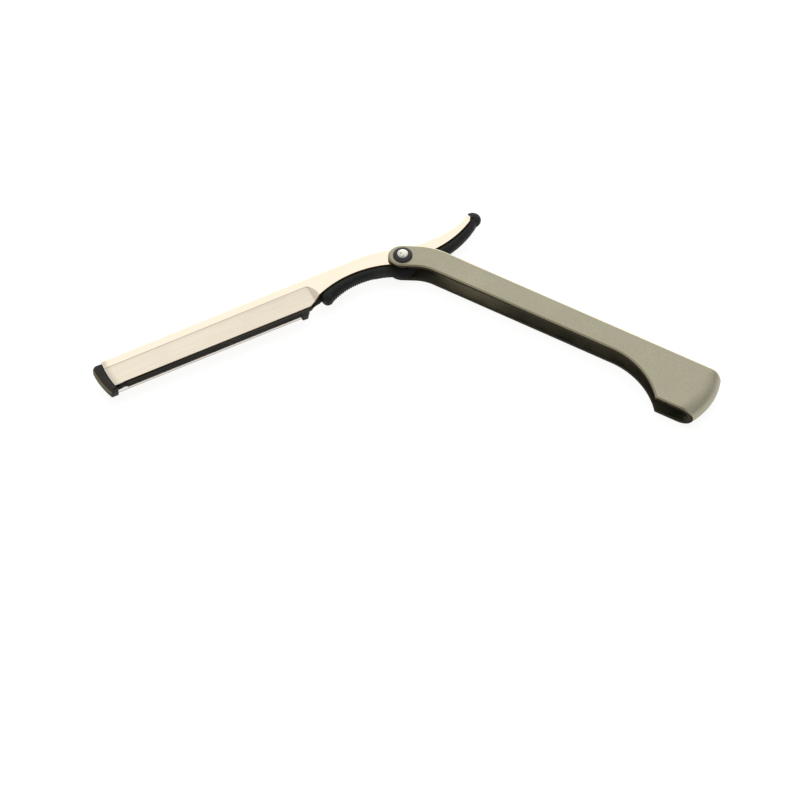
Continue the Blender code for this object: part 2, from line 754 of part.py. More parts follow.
def cap_outer_x(y):
    """The cap's bowed outer end."""
    return TIP_X - (y - CAP_BOW_CENTRE) ** 2 / (2 * CAP_BOW_RADIUS)


def cap_inner_x(y):
    """The cap's inner end, which follows the cover's bowed end."""
    middle = (SPINE_Y + COVER_EDGE_Y) / 2
    return COVER_END + SHEET_GAP - (y - middle) ** 2 / (2 * COVER_BOW_RADIUS)


def guard_outline():
    """The visible outline: guard, heel block, toe block and cap, going round from the heel."""
    lip = COVER_EDGE_Y + SHEET_GAP
    cap_top = SPINE_Y + CAP_TOP_DROP
    heel = SHANK_LENGTH + HEEL_BLOCK_LENGTH
    slant = (BLOCK_Y - GUARD_Y) / 2
    heel_start = SHANK_LENGTH - slant
    points = [(heel_start, lip), (heel_start, between(lip, GUARD_Y, HEEL_RISE_SHARE))]
    points.append((SHANK_LENGTH, GUARD_Y))
    points.append((SHANK_LENGTH + slant, BLOCK_Y))
    points.append((heel - slant / 2, BLOCK_Y))
    points.append((heel, GUARD_Y))
    notch_end = TOE_START - NOTCH_LENGTH
    points.append((notch_end - NOTCH_RAMP, GUARD_Y))
    points.append((notch_end, GUARD_Y - NOTCH_DEPTH))
    points.append((TOE_START - slant / 2, GUARD_Y - NOTCH_DEPTH))
    points.append((TOE_START + slant, BLOCK_Y))
    points += [(cap_outer_x(y), y) for y in steps_from(BLOCK_Y, cap_top + CAP_CORNER, 3 * COLUMNS_FINE)]
    corner_x = cap_outer_x(cap_top + CAP_CORNER) - CAP_CORNER
    for i in range(1, 5):
        angle = math.pi / 2 * i / 4
        x = corner_x + CAP_CORNER * math.cos(angle)
        points.append((x, cap_top + CAP_CORNER * (1 - math.sin(angle))))
    points += [(cap_inner_x(y), y) for y in steps_from(cap_top, lip, 3 * COLUMNS_FINE)]
    return points


blade_slider = outline_solid(
    "blade_slider",
    guard_outline(),
    -GUARD_HALF,
    GUARD_HALF,
    arm_frame,
    BLACK_PLASTIC,
    bevel=GUARD_BEVEL,
)

strip_start = SHANK_LENGTH - HEEL_TAIL_LENGTH
strip_foot = GUARD_Y - GUARD_BEVEL - NOTCH_DEPTH
strip_end = cap_inner_x(STRIP_BACK_Y) + CAP_WIDTH / 2
strip_points = [
    (strip_start + BEAD_WIDTH, STRIP_BACK_Y),
    (strip_end, STRIP_BACK_Y),
    (strip_end, strip_foot),
    (SHANK_LENGTH, strip_foot),
    (strip_start, COVER_EDGE_Y),
    (strip_start, STRIP_BACK_Y + BEAD_WIDTH),
]
slider_strip = outline_solid("slider_strip_joiner", strip_points, -STRIP_HALF, STRIP_HALF, arm_frame, None, True)
bead_points = [
    (strip_start + 2 * BEAD_WIDTH, STRIP_BACK_Y - BEAD_LAP),
    (strip_end - BEAD_LAP, STRIP_BACK_Y - BEAD_LAP),
    (strip_end - BEAD_LAP, STRIP_BACK_Y + BEAD_WIDTH),
    (strip_start + 2 * BEAD_WIDTH, STRIP_BACK_Y + BEAD_WIDTH),
]
slider_bead = outline_solid("slider_bead_joiner", bead_points, -BEAD_HALF, BEAD_HALF, arm_frame, None, True)
boolean(blade_slider, "UNION", slider_strip)
boolean(blade_slider, "UNION", slider_bead)

slot_half = BLADE_THICKNESS / 2 + SLOT_GAP
slot_points = [
    (BLADE_START - SLOT_GAP, BLADE_BACK_Y - SLOT_GAP),
    (BLADE_END + SLOT_GAP, BLADE_BACK_Y - SLOT_GAP),
    (BLADE_END + SLOT_GAP, BLADE_EDGE_Y + OVERRUN),
    (BLADE_START - SLOT_GAP, BLADE_EDGE_Y + OVERRUN),
]
slot = outline_solid("blade_slot_cutter", slot_points, -slot_half, slot_half, arm_frame, None, True)
boolean(blade_slider, "DIFFERENCE", slot)
stud_y = BLADE_BACK_Y + BLADE_HOLE_BACK
stud_half = between(slot_half, STRIP_HALF, 0.5)
for stud_name, stud_x in (
    ("heel_stud_joiner", BLADE_START + BLADE_HOLE_INSET),
    ("toe_stud_joiner", BLADE_END - BLADE_HOLE_INSET),
):
    stud = cylinder(stud_name, BLADE_HOLE_RADIUS - STUD_GAP, stud_half, stud_x, stud_y, arm_frame)
    boolean(blade_slider, "UNION", stud)

# Blade: a five-sided section drawn across the arm and extruded along it
blade_section = [
    (BLADE_BACK_Y, -BLADE_THICKNESS / 2),
    (BLADE_EDGE_Y - BLADE_GRIND, -BLADE_THICKNESS / 2),
    (BLADE_EDGE_Y, -BLADE_EDGE_FLAT / 2),
    (BLADE_EDGE_Y, BLADE_EDGE_FLAT / 2),
    (BLADE_EDGE_Y - BLADE_GRIND, BLADE_THICKNESS / 2),
    (BLADE_BACK_Y, BLADE_THICKNESS / 2),
]
blade = outline_solid("blade", blade_section, BLADE_START, BLADE_END, arm_frame, BLADE_STEEL)
blade_mesh = blade.data
for vertex in blade_mesh.vertices:
    across, thick, along = vertex.co
    vertex.co = (along, across, thick)
for hole_name, hole_x in (
    ("heel_hole_cutter", BLADE_START + BLADE_HOLE_INSET),
    ("toe_hole_cutter", BLADE_END - BLADE_HOLE_INSET),
):
    hole = cylinder(hole_name, BLADE_HOLE_RADIUS, BLADE_THICKNESS + OVERRUN, hole_x, stud_y, arm_frame)
    boolean(blade, "DIFFERENCE", hole)

for part in parts.objects:
    if part.type == "MESH":
        smooth(part.data)
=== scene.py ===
import math

import bmesh
import bpy
from mathutils import Matrix


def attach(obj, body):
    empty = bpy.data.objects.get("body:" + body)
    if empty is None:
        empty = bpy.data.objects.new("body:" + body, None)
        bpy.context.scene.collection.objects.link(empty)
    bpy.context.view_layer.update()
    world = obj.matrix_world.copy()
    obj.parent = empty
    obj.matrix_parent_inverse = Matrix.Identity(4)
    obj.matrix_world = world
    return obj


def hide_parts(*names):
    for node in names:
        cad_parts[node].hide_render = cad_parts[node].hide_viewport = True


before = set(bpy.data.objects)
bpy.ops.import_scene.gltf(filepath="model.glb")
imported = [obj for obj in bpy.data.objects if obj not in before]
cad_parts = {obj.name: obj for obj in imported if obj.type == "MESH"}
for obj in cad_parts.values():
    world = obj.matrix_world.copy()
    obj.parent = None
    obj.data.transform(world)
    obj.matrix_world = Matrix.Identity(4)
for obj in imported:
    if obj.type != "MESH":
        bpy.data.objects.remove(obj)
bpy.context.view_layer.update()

# Studio: a white sweep under a soft tent. The tent is brightest behind the razor, most of all low
# down, and has a dark gap above the camera, so that polished faces show a bright back and a thin
# dark edge. One large soft lamp overhead lays a faint shadow on the sweep.
CAMERA_PLACE = (-0.000826, -0.707842, 0.842360)
CAMERA_TILT = math.radians(38)
CAMERA_LENS = 160.695
SWEEP_HALF = 6.0
SWEEP_DROP = 0.00005
SWEEP_WHITE = 0.9
SWEEP_LIFT = 0.78
SWEEP_GLOW = 1.10
TENT_SIDE_LEVEL = 0.68
TENT_BACK_LEVEL = 1.14
TENT_FRONT_LEVEL = 0.55
TENT_HORIZON_LEVEL = 1.8
TENT_FOOT_LEVEL = 0.34
TENT_BACK_HALF_WIDTH = (0.40, 0.12)
TENT_BACK_DEPTH = (0.18, 0.46)
TENT_HORIZON_HEIGHT = (0.52, 0.12)
TENT_HORIZON_DEPTH = (0.45, 0.85)
TENT_FOOT_HEIGHT = (0.72, 0.10)
TENT_FRONT_DEPTH = (-0.15, -0.60)
TENT_GAP = (0.1, -0.35, 0.93)
TENT_GAP_EDGE = (0.86, 0.96)
TENT_GAP_SHARE = 0.45
TENT_RIGHT_START = (0.20, 0.36)
TENT_RIGHT_HEIGHT = (0.04, 0.32)
TENT_RIGHT_TURN = (0.46, 0.86)
TENT_RIGHT_EXTRA = (0.38, -0.38)
TENT_WARMTH = (1.0, 0.985, 0.955)
OVERHEAD_SIZE = 1.6
OVERHEAD_PLACE = (0, 0.15, 1.3)
OVERHEAD_POWER = 9.0

scene = bpy.context.scene
scene.view_settings.view_transform = "Standard"

camera_data = bpy.data.cameras.new("photo_camera")
camera_data.sensor_width = 36.0
camera_data.lens = CAMERA_LENS
camera_data.clip_start = 0.01
camera_data.clip_end = 50.0
camera = bpy.data.objects.new("photo_camera", camera_data)
camera.location = CAMERA_PLACE
camera.rotation_euler = (CAMERA_TILT, 0, 0)
scene.collection.objects.link(camera)
scene.camera = camera


def fill(socket, value):
    """Gives an input socket a link, or a plain value of its own."""
    if isinstance(value, bpy.types.NodeSocket):
        socket.id_data.links.new(value, socket)
    elif socket.type == "RGBA":
        socket.default_value = (*value, 1)
    else:
        socket.default_value = value


def node(tree, kind, inputs=(), **settings):
    """Adds a shader node with its settings, and fills its inputs by title or by place."""
    made = tree.nodes.new(kind)
    for name, value in settings.items():
        setattr(made, name, value)
    for place, value in dict(inputs).items():
        fill(made.inputs[place], value)
    return made


def tree_of(*values):
    """The node tree that the first socket among the values is in."""
    return next(value.id_data for value in values if isinstance(value, bpy.types.NodeSocket))


def calculate(operation, *values):
    """A Math node on sockets and numbers. Returns its output."""
    return node(tree_of(*values), "ShaderNodeMath", enumerate(values), operation=operation).outputs[0]


def times(first, second):
    """The product of two grey values."""
    return calculate("MULTIPLY", first, second)


def plus(first, second):
    """The sum of two grey values."""
    return calculate("ADD", first, second)


def ramp(value, start, end, first=0.0, last=1.0):
    """A smooth change from first to last while a value goes from start to end."""
    inputs = {"Value": value, "From Min": start, "From Max": end, "To Min": first, "To Max": last}
    return node(value.id_data, "ShaderNodeMapRange", inputs, interpolation_type="SMOOTHSTEP").outputs[0]


def axes(vector):
    """The x, y and z of a vector socket."""
    return node(vector.id_data, "ShaderNodeSeparateXYZ", {0: vector}).outputs


tent = bpy.data.worlds.new("light_tent")
tent.use_nodes = True
tent_tree = tent.node_tree
tent_tree.nodes.clear()
tent_way = node(tent_tree, "ShaderNodeTexCoord").outputs["Generated"]
tent_x, tent_y, tent_z = axes(tent_way)
behind = times(ramp(calculate("ABSOLUTE", tent_x), *TENT_BACK_HALF_WIDTH), ramp(tent_y, *TENT_BACK_DEPTH))
level = calculate("MULTIPLY_ADD", behind, TENT_BACK_LEVEL - TENT_SIDE_LEVEL, TENT_SIDE_LEVEL)
horizon = times(ramp(tent_z, *TENT_HORIZON_HEIGHT), ramp(tent_y, *TENT_HORIZON_DEPTH))
level = plus(level, times(horizon, TENT_HORIZON_LEVEL - TENT_BACK_LEVEL))
level = plus(level, ramp(tent_z, *TENT_FOOT_HEIGHT, 0.0, TENT_FOOT_LEVEL))
front = times(ramp(tent_y, *TENT_FRONT_DEPTH), TENT_SIDE_LEVEL - TENT_FRONT_LEVEL)
level = calculate("SUBTRACT", level, front)
towards_gap = node(tent_tree, "ShaderNodeVectorMath", {0: tent_way, 1: TENT_GAP}, operation="DOT_PRODUCT")
level = times(level, ramp(towards_gap.outputs["Value"], *TENT_GAP_EDGE, 1.0, TENT_GAP_SHARE))
right = times(ramp(tent_x, *TENT_RIGHT_START), ramp(tent_z, *TENT_RIGHT_HEIGHT))
right_extra = ramp(tent_x, *TENT_RIGHT_TURN, *TENT_RIGHT_EXTRA)
level = times(level, calculate("MULTIPLY_ADD", right, right_extra, 1.0))
tent_light = node(tent_tree, "ShaderNodeBackground", {"Color": TENT_WARMTH, "Strength": level})
tent_white = node(tent_tree, "ShaderNodeBackground", {"Color": (1, 1, 1)})
seen = node(tent_tree, "ShaderNodeLightPath").outputs["Is Camera Ray"]
tent_mix = {0: seen, 1: tent_light.outputs[0], 2: tent_white.outputs[0]}
node(tent_tree, "ShaderNodeOutputWorld", {0: node(tent_tree, "ShaderNodeMixShader", tent_mix).outputs[0]})
scene.world = tent

sweep_mesh = bpy.data.meshes.new("white_sweep")
sweep_sides = ((-1, -1), (1, -1), (1, 1), (-1, 1))
sweep_corners = [(x * SWEEP_HALF, y * SWEEP_HALF, -SWEEP_DROP) for x, y in sweep_sides]
sweep_mesh.from_pydata(sweep_corners, [], [(0, 1, 2, 3)])
sweep = bpy.data.objects.new("white_sweep", sweep_mesh)
scene.collection.objects.link(sweep)
sweep_paper = bpy.data.materials.new("sweep_paper")
sweep_paper.use_nodes = True
paper_tree = sweep_paper.node_tree
paper = paper_tree.nodes["Principled BSDF"]
fill(paper.inputs["Base Color"], (SWEEP_WHITE, SWEEP_WHITE, SWEEP_WHITE))
paper.inputs["Roughness"].default_value = 0.9
paper.inputs["Specular IOR Level"].default_value = 0.0
paper_glow = node(paper_tree, "ShaderNodeEmission", {"Strength": SWEEP_GLOW})
paper_ray = node(paper_tree, "ShaderNodeLightPath").outputs
seen = calculate("MAXIMUM", paper_ray["Is Camera Ray"], paper_ray["Is Glossy Ray"])
seen = times(calculate("MAXIMUM", seen, paper_ray["Is Transmission Ray"]), SWEEP_LIFT)
paper_mix = node(paper_tree, "ShaderNodeMixShader", {0: seen, 1: paper.outputs[0], 2: paper_glow.outputs[0]})
fill(paper_tree.nodes["Material Output"].inputs["Surface"], paper_mix.outputs[0])
sweep_mesh.materials.append(sweep_paper)

overhead_data = bpy.data.lights.new("overhead_softbox", "AREA")
overhead_data.size = OVERHEAD_SIZE
overhead_data.energy = OVERHEAD_POWER
overhead = bpy.data.objects.new("overhead_softbox", overhead_data)
overhead.location = OVERHEAD_PLACE
overhead.visible_glossy = False
scene.collection.objects.link(overhead)

# Handle: one strip of satin anodised sheet, 1.1 mm thick, bent round into two plates with a bowed
# fold at the tail. It is blanked, so its outer corners are rolled over. Its cut edges and inside
# faces are coloured dark as painted shade.
HANDLE_TURN = math.radians(-29.9)
MIDDLE_HEIGHT = 0.0048
HANDLE_LENGTH = 0.1069
HANDLE_WIDTH = 0.0083
PLATE_THICKNESS = 0.0011
HALF_HEIGHT = 0.00355
BOSS_LEAD = 0.0040
BOSS_REACH = 0.0045
BOSS_SLOPE = math.radians(27.5)
NECK_RADIUS = 0.0164
ARCH_LENGTH = 0.0342
HOOK_LENGTH = 0.0144
HOOK_ARCH_RADIUS = 0.0251
HOOK_DROP = 0.0003
TAIL_BOW_RADIUS = 0.022
TAIL_BOW_CENTRE = -0.0007
TAIL_EDGE_INSET = 0.0003
TAIL_NOSE_LENGTH = 0.0050
TAIL_CORNER_TIGHTENING = 0.0020
TAIL_CORNER_WIDTH = 0.0034
BOSS_STEPS = 24
NECK_STEP = 0.0006
STRAIGHT_STEP = 0.004
ARCH_STEPS = 38
HOOK_STEP = 0.001
FOLD_STEPS = 18
FOLD_SHARES = [0.0] + [0.1 + 0.8 * i / 14 for i in range(15)] + [1.0]
PLATE_BORDER = 0.0008
ROLLED_CORNER = 0.00058
LOWER_CORNER_SHARE = 0.25
LOWER_CORNER_START = -0.0003
LOWER_CORNER_FADE = 0.0022
INNER_CORNER = 0.00010
WELD = 0.000004
SHARP_ANGLE = math.radians(40)
GRAIN_DEPTH = 0.00002
NOISE_RANGE = (0.3, 0.7)
INSIDE_PAINTED_LIGHT_X = (0.042, 0.022)
INSIDE_PAINTED_LIGHT_SHARE = 0.70
BOSS_EDGE_LIT_X = (-0.0012, -0.0038)
CORNER_LINES = (5200, 5200, 500)
SHADE_LINE_TILT = (0.86, 0.93)
SHADE_LINE_END_TILT = (0.998, 0.985)
SHADE_LINE_SIDE = (0.02, -0.12)
SHADE_LINE_SHARE = 0.34
HIGHLIGHT_SIDE = (0.12, 0.40)
HIGHLIGHT_SHARE = 0.85
UNDER_SHADE_TILT = (0.62, 0.42)
UNDER_SHADE_SIDE = (-0.3, -0.6)
UNDER_SHADE_HEIGHT = (-0.0010, -0.0030)

satin_face_colour = (0.410, 0.391, 0.297)
satin_stain_colour = (0.42, 0.36, 0.29)
satin_scratch_colour = (0.50, 0.47, 0.38)
inside_painted_shade_colour = (0.066, 0.060, 0.037)
inside_painted_light_colour = (0.270, 0.250, 0.175)
grain_shade_colours = ((0.86, 0.86, 0.86), (1.12, 1.12, 1.12))
rolled_corner_colour = (0.37, 0.335, 0.225)
corner_shade_line_colour = (0.10, 0.085, 0.05)
corner_highlight_colour = (0.92, 0.86, 0.60)
cut_edge_shade_colour = (0.020, 0.017, 0.010)
boss_edge_lit_colour = (0.20, 0.185, 0.125)


def share_between(low, high, share):
    """The value at a share of the way from low to high."""
    return low + (high - low) * share


def ease(share):
    """A smooth step from 0 to 1."""
    share = min(max(share, 0.0), 1.0)
    return share * share * (3 - 2 * share)


def stations(start, end, longest):
    """Evenly spaced values from start to end, no further apart than longest."""
    count = max(1, math.ceil(abs(end - start) / longest - 1e-6))
    return [share_between(start, end, i / count) for i in range(count + 1)]


def quarter_turn(steps):
    """The angles of a quarter turn in equal steps, without its start."""
    return [math.pi / 2 * i / steps for i in range(1, steps + 1)]


def loft(grown, rows):
    """Faces between neighbouring rows of points, which all have the same length."""
    grid = [[grown.verts.new(point) for point in row] for row in rows]
    for low, high in zip(grid, grid[1:]):
        for j in range(len(low) - 1):
            grown.faces.new((low[j], high[j], high[j + 1], low[j + 1]))
    return grid


def place(name, build, turn):
    """Makes a piece drawn in the handle's or the arm's own plan, and puts it at its place."""
    grown = bmesh.new()
    build(grown)
    mesh = bpy.data.meshes.new(name)
    grown.to_mesh(mesh)
    grown.free()
    made = bpy.data.objects.new(name, mesh)
    made.matrix_world = Matrix.Translation((0, 0, MIDDLE_HEIGHT)) @ Matrix.Rotation(turn, 4, "Z")
    scene.collection.objects.link(made)
    return made


def fixed(piece, sharp=SHARP_ANGLE):
    """Applies a piece's modifiers and shades it smooth, with its real corners kept sharp."""
    bpy.context.view_layer.update()
    drawn = piece.evaluated_get(bpy.context.evaluated_depsgraph_get())
    mesh = bpy.data.meshes.new_from_object(drawn)
    piece.modifiers.clear()
    piece.data = mesh
    mesh.shade_smooth()
    mesh.set_sharp_from_angle(angle=sharp)
    return piece


def coat(piece, *finishes):
    """Gives a piece its finishes, in the order of its faces' slots."""
    piece.data.materials.clear()
    for finish in finishes:
        piece.data.materials.append(finish)


def mirrored(piece):
    """Adds the lower half of a piece that is drawn above its middle plane."""
    lower = piece.modifiers.new("lower_half", "MIRROR")
    lower.use_axis = (False, False, True)
    lower.merge_threshold = WELD


def folded_sheet(piece, thickness):
    """Makes one folded sheet of the outer face of its upper half, thickened inwards."""
    mirrored(piece)
    sheet = piece.modifiers.new("sheet", "SOLIDIFY")
    sheet.thickness = thickness
    sheet.offset = -1.0
    sheet.use_even_offset = True
    sheet.material_offset = 1
    sheet.material_offset_rim = 2
    fixed(piece)


def round_between(piece, first, second, width, segments, finish, sharp=SHARP_ANGLE, share_at=None):
    """Rounds the corners of a made mesh where faces of two finishes meet."""
    grown = bmesh.new()
    grown.from_mesh(piece.data)
    weights = grown.edges.layers.float.get("bevel_weight_edge")
    weights = weights or grown.edges.layers.float.new("bevel_weight_edge")
    for edge in grown.edges:
        meets = {face.material_index for face in edge.link_faces} == {first, second}
        middle = (edge.verts[0].co + edge.verts[1].co) / 2
        edge[weights] = (share_at(middle) if share_at else 1.0) if meets else 0.0
    grown.to_mesh(piece.data)
    grown.free()
    corners = piece.modifiers.new("rounded_corners", "BEVEL")
    corners.width = width
    corners.segments = segments
    corners.limit_method = "WEIGHT"
    corners.material = finish
    corners.use_clamp_overlap = False
    fixed(piece, sharp)


def neck_point(s):
    """The strip's centre line at s along it, and the unit direction across it."""
    turn = min(max((s - BOSS_LEAD) / NECK_RADIUS, 0.0), BOSS_SLOPE)
    slope = BOSS_SLOPE - turn
    lead = min(s, BOSS_LEAD)
    x = lead * math.cos(BOSS_SLOPE) + NECK_RADIUS * (math.sin(BOSS_SLOPE) - math.sin(slope))
    y = lead * math.sin(BOSS_SLOPE) + NECK_RADIUS * (math.cos(slope) - math.cos(BOSS_SLOPE))
    return x, y, (-math.sin(slope), math.cos(slope))


neck_end = BOSS_LEAD + NECK_RADIUS * BOSS_SLOPE
neck_end_x, strip_y, _ = neck_point(neck_end)
hook_x = HANDLE_LENGTH - HOOK_LENGTH
hook_arch_x = HANDLE_LENGTH - ARCH_LENGTH
near_y = strip_y - HANDLE_WIDTH / 2
far_y = strip_y + HANDLE_WIDTH / 2
hook_run = hook_x - hook_arch_x
hook_y = near_y - HOOK_ARCH_RADIUS + math.sqrt(HOOK_ARCH_RADIUS**2 - hook_run**2) - HOOK_DROP


def near_edge(x):
    """The strip's near edge: straight, then an arch down to the hook, then straight."""
    if x <= hook_arch_x:
        return near_y
    if x >= hook_x:
        return hook_y
    drop = HOOK_ARCH_RADIUS - math.sqrt(HOOK_ARCH_RADIUS**2 - (x - hook_arch_x) ** 2)
    return near_y - drop - HOOK_DROP * ease((x - hook_arch_x) / hook_run)


def beside_neck(s, offset):
    """A point of the upper plate at s along the neck's centre line and offset across it."""
    x, y, (nx, ny) = neck_point(s)
    return (x + nx * offset, y + ny * offset, HALF_HEIGHT)


def fold_row(bend):
    """One row of points across the fold, from 0 at the upper plate to a right angle at its middle."""
    row = []
    for across in FOLD_SHARES:
        far = far_y - TAIL_EDGE_INSET * math.sin(bend) ** 2
        y = share_between(hook_y, far, across)
        nose = TAIL_NOSE_LENGTH - TAIL_CORNER_TIGHTENING * ease((y - far_y) / TAIL_CORNER_WIDTH + 1)
        fold_x = HANDLE_LENGTH - (y - TAIL_BOW_CENTRE) ** 2 / (2 * TAIL_BOW_RADIUS) - nose
        row.append((fold_x + nose * math.sin(bend), y, HALF_HEIGHT * math.cos(bend)))
    return row


def grow_handle(grown):
    """The outer face of the upper plate, from the boss to the middle of the fold."""
    near, far = [], []
    for line, side in ((near, -HANDLE_WIDTH / 2), (far, HANDLE_WIDTH / 2)):
        for angle in quarter_turn(BOSS_STEPS):
            line.append(beside_neck(-BOSS_REACH * math.cos(angle), side * math.sin(angle)))
        line += [beside_neck(s, side) for s in stations(0, neck_end, NECK_STEP)[1:]]
    straight = stations(neck_end_x, hook_arch_x, STRAIGHT_STEP)[1:]
    hook_angle = math.asin(hook_run / HOOK_ARCH_RADIUS)
    arch_angles = [hook_angle * i / ARCH_STEPS for i in range(1, ARCH_STEPS + 1)]
    arch = [hook_arch_x + HOOK_ARCH_RADIUS * math.sin(angle) for angle in arch_angles]
    fold_start = fold_row(0.0)
    hook = stations(hook_x, fold_start[0][0], HOOK_STEP)[1:-1]
    near += [(x, near_edge(x), HALF_HEIGHT) for x in straight + arch + hook]
    far += [(x, far_y, HALF_HEIGHT) for x in stations(neck_end_x, fold_start[-1][0], STRAIGHT_STEP)[1:-1]]
    outline = [beside_neck(-BOSS_REACH, 0)] + near + fold_start + far[::-1]
    plate = grown.faces.new([grown.verts.new(point) for point in outline])
    plate.normal_update()
    bmesh.ops.inset_region(
        grown, faces=[plate], thickness=PLATE_BORDER, use_boundary=True, use_even_offset=True
    )
    loft(grown, [fold_row(bend) for bend in [0.0] + quarter_turn(FOLD_STEPS)])
    bmesh.ops.remove_doubles(grown, verts=grown.verts, dist=WELD)


def corner_share(middle):
    """How much of the rolled corner's width a place on the strip has: less on the lower plate."""
    return share_between(1.0, LOWER_CORNER_SHARE, ease((LOWER_CORNER_START - middle.z) / LOWER_CORNER_FADE))


def pattern_group(name, setting, default, results):
    """A new node group that turns a vector and one setting into grey patterns."""
    group = bpy.data.node_groups.new(name, "ShaderNodeTree")
    group.interface.new_socket("Vector", in_out="INPUT", socket_type="NodeSocketVector")
    socket = group.interface.new_socket(setting, in_out="INPUT", socket_type="NodeSocketFloat")
    socket.default_value = default
    for title in results:
        group.interface.new_socket(title, in_out="OUTPUT", socket_type="NodeSocketFloat")
    vector, value = node(group, "NodeGroupInput").outputs[:2]
    return group, vector, value, node(group, "NodeGroupOutput").inputs


def patterns(group, vector, setting):
    """Places a pattern group in a material. Returns its two patterns."""
    return node(vector.id_data, "ShaderNodeGroup", {0: vector, 1: setting}, node_tree=group).outputs


def noise(vector, scale=1.0, detail=2.0, roughness=0.55):
    """A grey noise on a vector."""
    inputs = {"Vector": vector, "Scale": scale, "Detail": detail, "Roughness": roughness}
    return node(vector.id_data, "ShaderNodeTexNoise", inputs).outputs[0]


def between(low, high, pattern):
    """A smooth change from low to high while a pattern goes from 0 to 1."""
    return ramp(pattern, 0.0, 1.0, low, high)


def stretched(vector, stretch):
    """A vector with each axis scaled by its own amount."""
    inputs = {0: vector, 1: stretch}
    return node(vector.id_data, "ShaderNodeVectorMath", inputs, operation="MULTIPLY").outputs[0]


def mixed(share, first, second, blend="MIX"):
    """A colour mix of sockets or plain colours."""
    inputs = {0: share, 6: first, 7: second}
    tree = tree_of(share, first, second)
    return node(tree, "ShaderNodeMix", inputs, data_type="RGBA", blend_type=blend).outputs[2]


def shaded(pattern, colour, dark, light=1.0):
    """A colour that a pattern takes between two levels of itself."""
    return mixed(pattern, tuple(c * dark for c in colour), tuple(c * light for c in colour))


def finish_of(name, roughness, metallic, specular=0.5):
    """A new material. Returns it, its Principled node and the piece's plan coordinates."""
    made = bpy.data.materials.new(name)
    made.use_nodes = True
    shader = made.node_tree.nodes["Principled BSDF"]
    shader.inputs["Roughness"].default_value = roughness
    shader.inputs["Metallic"].default_value = metallic
    shader.inputs["Specular IOR Level"].default_value = specular
    return made, shader, node(made.node_tree, "ShaderNodeTexCoord").outputs["Object"]


def facing_of(shader):
    """The x, y and z of the direction that the surface faces, in the piece's plan."""
    return axes(node(shader.id_data, "ShaderNodeTexCoord").outputs["Normal"])


def dress(shader, colour, roughness, relief=None, strength=0.0, depth=GRAIN_DEPTH):
    """Gives a material its colour and roughness, and the relief of a pattern."""
    fill(shader.inputs["Base Color"], colour)
    fill(shader.inputs["Roughness"], roughness)
    if relief is not None:
        inputs = {"Strength": strength, "Distance": depth, "Height": relief}
        fill(shader.inputs["Normal"], node(shader.id_data, "ShaderNodeBump", inputs).outputs[0])


# Fine speckle of an etched or moulded surface: a tight grain, with a slow cloud under it
speckle, vector, per_metre, results = pattern_group(
    "fine_speckle", "Grain per metre", 5000.0, ("Grain", "Cloud")
)
fill(results["Grain"], ramp(noise(vector, per_metre, 2.0, 0.6), *NOISE_RANGE))
fill(results["Cloud"], ramp(noise(vector, 160.0, 4.0), 0.35, 0.65))

# Marks of handling: sparse hairline scratches in two directions, and worn smudges
marks, vector, amount, results = pattern_group(
    "handling_marks", "Amount", 0.3, ("Scratches", "Smudges")
)
scratches = []
for scratch_turn, scratch_stretch in ((0.35, (30, 2600, 30)), (-0.8, (45, 3400, 45))):
    inputs = {"Vector": vector, "Angle": scratch_turn}
    turned = node(marks, "ShaderNodeVectorRotate", inputs, rotation_type="Z_AXIS").outputs[0]
    scratches.append(ramp(noise(stretched(turned, scratch_stretch), detail=1.0), 0.68, 0.74))
fill(results["Scratches"], times(calculate("MAXIMUM", *scratches), amount))
fill(results["Smudges"], times(ramp(noise(vector, 70.0, 5.0, 0.6), 0.45, 0.72), amount))

# Satin outer face
satin_face, shader, plan = finish_of("satin_aluminium_face", 0.42, 1.0)
grain, cloud = patterns(speckle, plan, 3300.0)
scratches, smudges = patterns(marks, plan, 0.10)
tone = shaded(grain, satin_face_colour, 0.87, 1.12)
tone = mixed(times(cloud, 0.12), tone, satin_stain_colour)
tone = mixed(scratches, tone, satin_scratch_colour)
rough = calculate("SUBTRACT", calculate("MULTIPLY_ADD", grain, 0.10, 0.38), smudges)
dress(shader, tone, rough, grain, strength=0.25)

# Inside face, coloured dark as painted shade, with painted light on it near the pivot
satin_inside, shader, plan = finish_of("satin_aluminium_inside", 0.5, 1.0)
grain, cloud = patterns(speckle, plan, 6500.0)
painted_light = plus(ramp(axes(plan)["X"], *INSIDE_PAINTED_LIGHT_X, 0.0, INSIDE_PAINTED_LIGHT_SHARE), times(cloud, 0.06))
tone = mixed(painted_light, inside_painted_shade_colour, inside_painted_light_colour)
tone = mixed(1.0, tone, mixed(grain, *grain_shade_colours), "MULTIPLY")
dress(shader, tone, between(0.42, 0.55, cloud), grain, strength=0.2)

# Cut edge: torn by the blanking die, so it is rough. It is coloured dark as painted shade, with painted light
# round the boss
cut_edge, shader, plan = finish_of("blanked_edge", 0.6, 0.0, specular=0.12)
grain, cloud = patterns(speckle, plan, 5200.0)
tone = shaded(grain, cut_edge_shade_colour, 0.7, 1.5)
tone = mixed(ramp(axes(plan)["X"], *BOSS_EDGE_LIT_X), tone, boss_edge_lit_colour)
dress(shader, tone, between(0.5, 0.7, cloud), grain, strength=0.3)
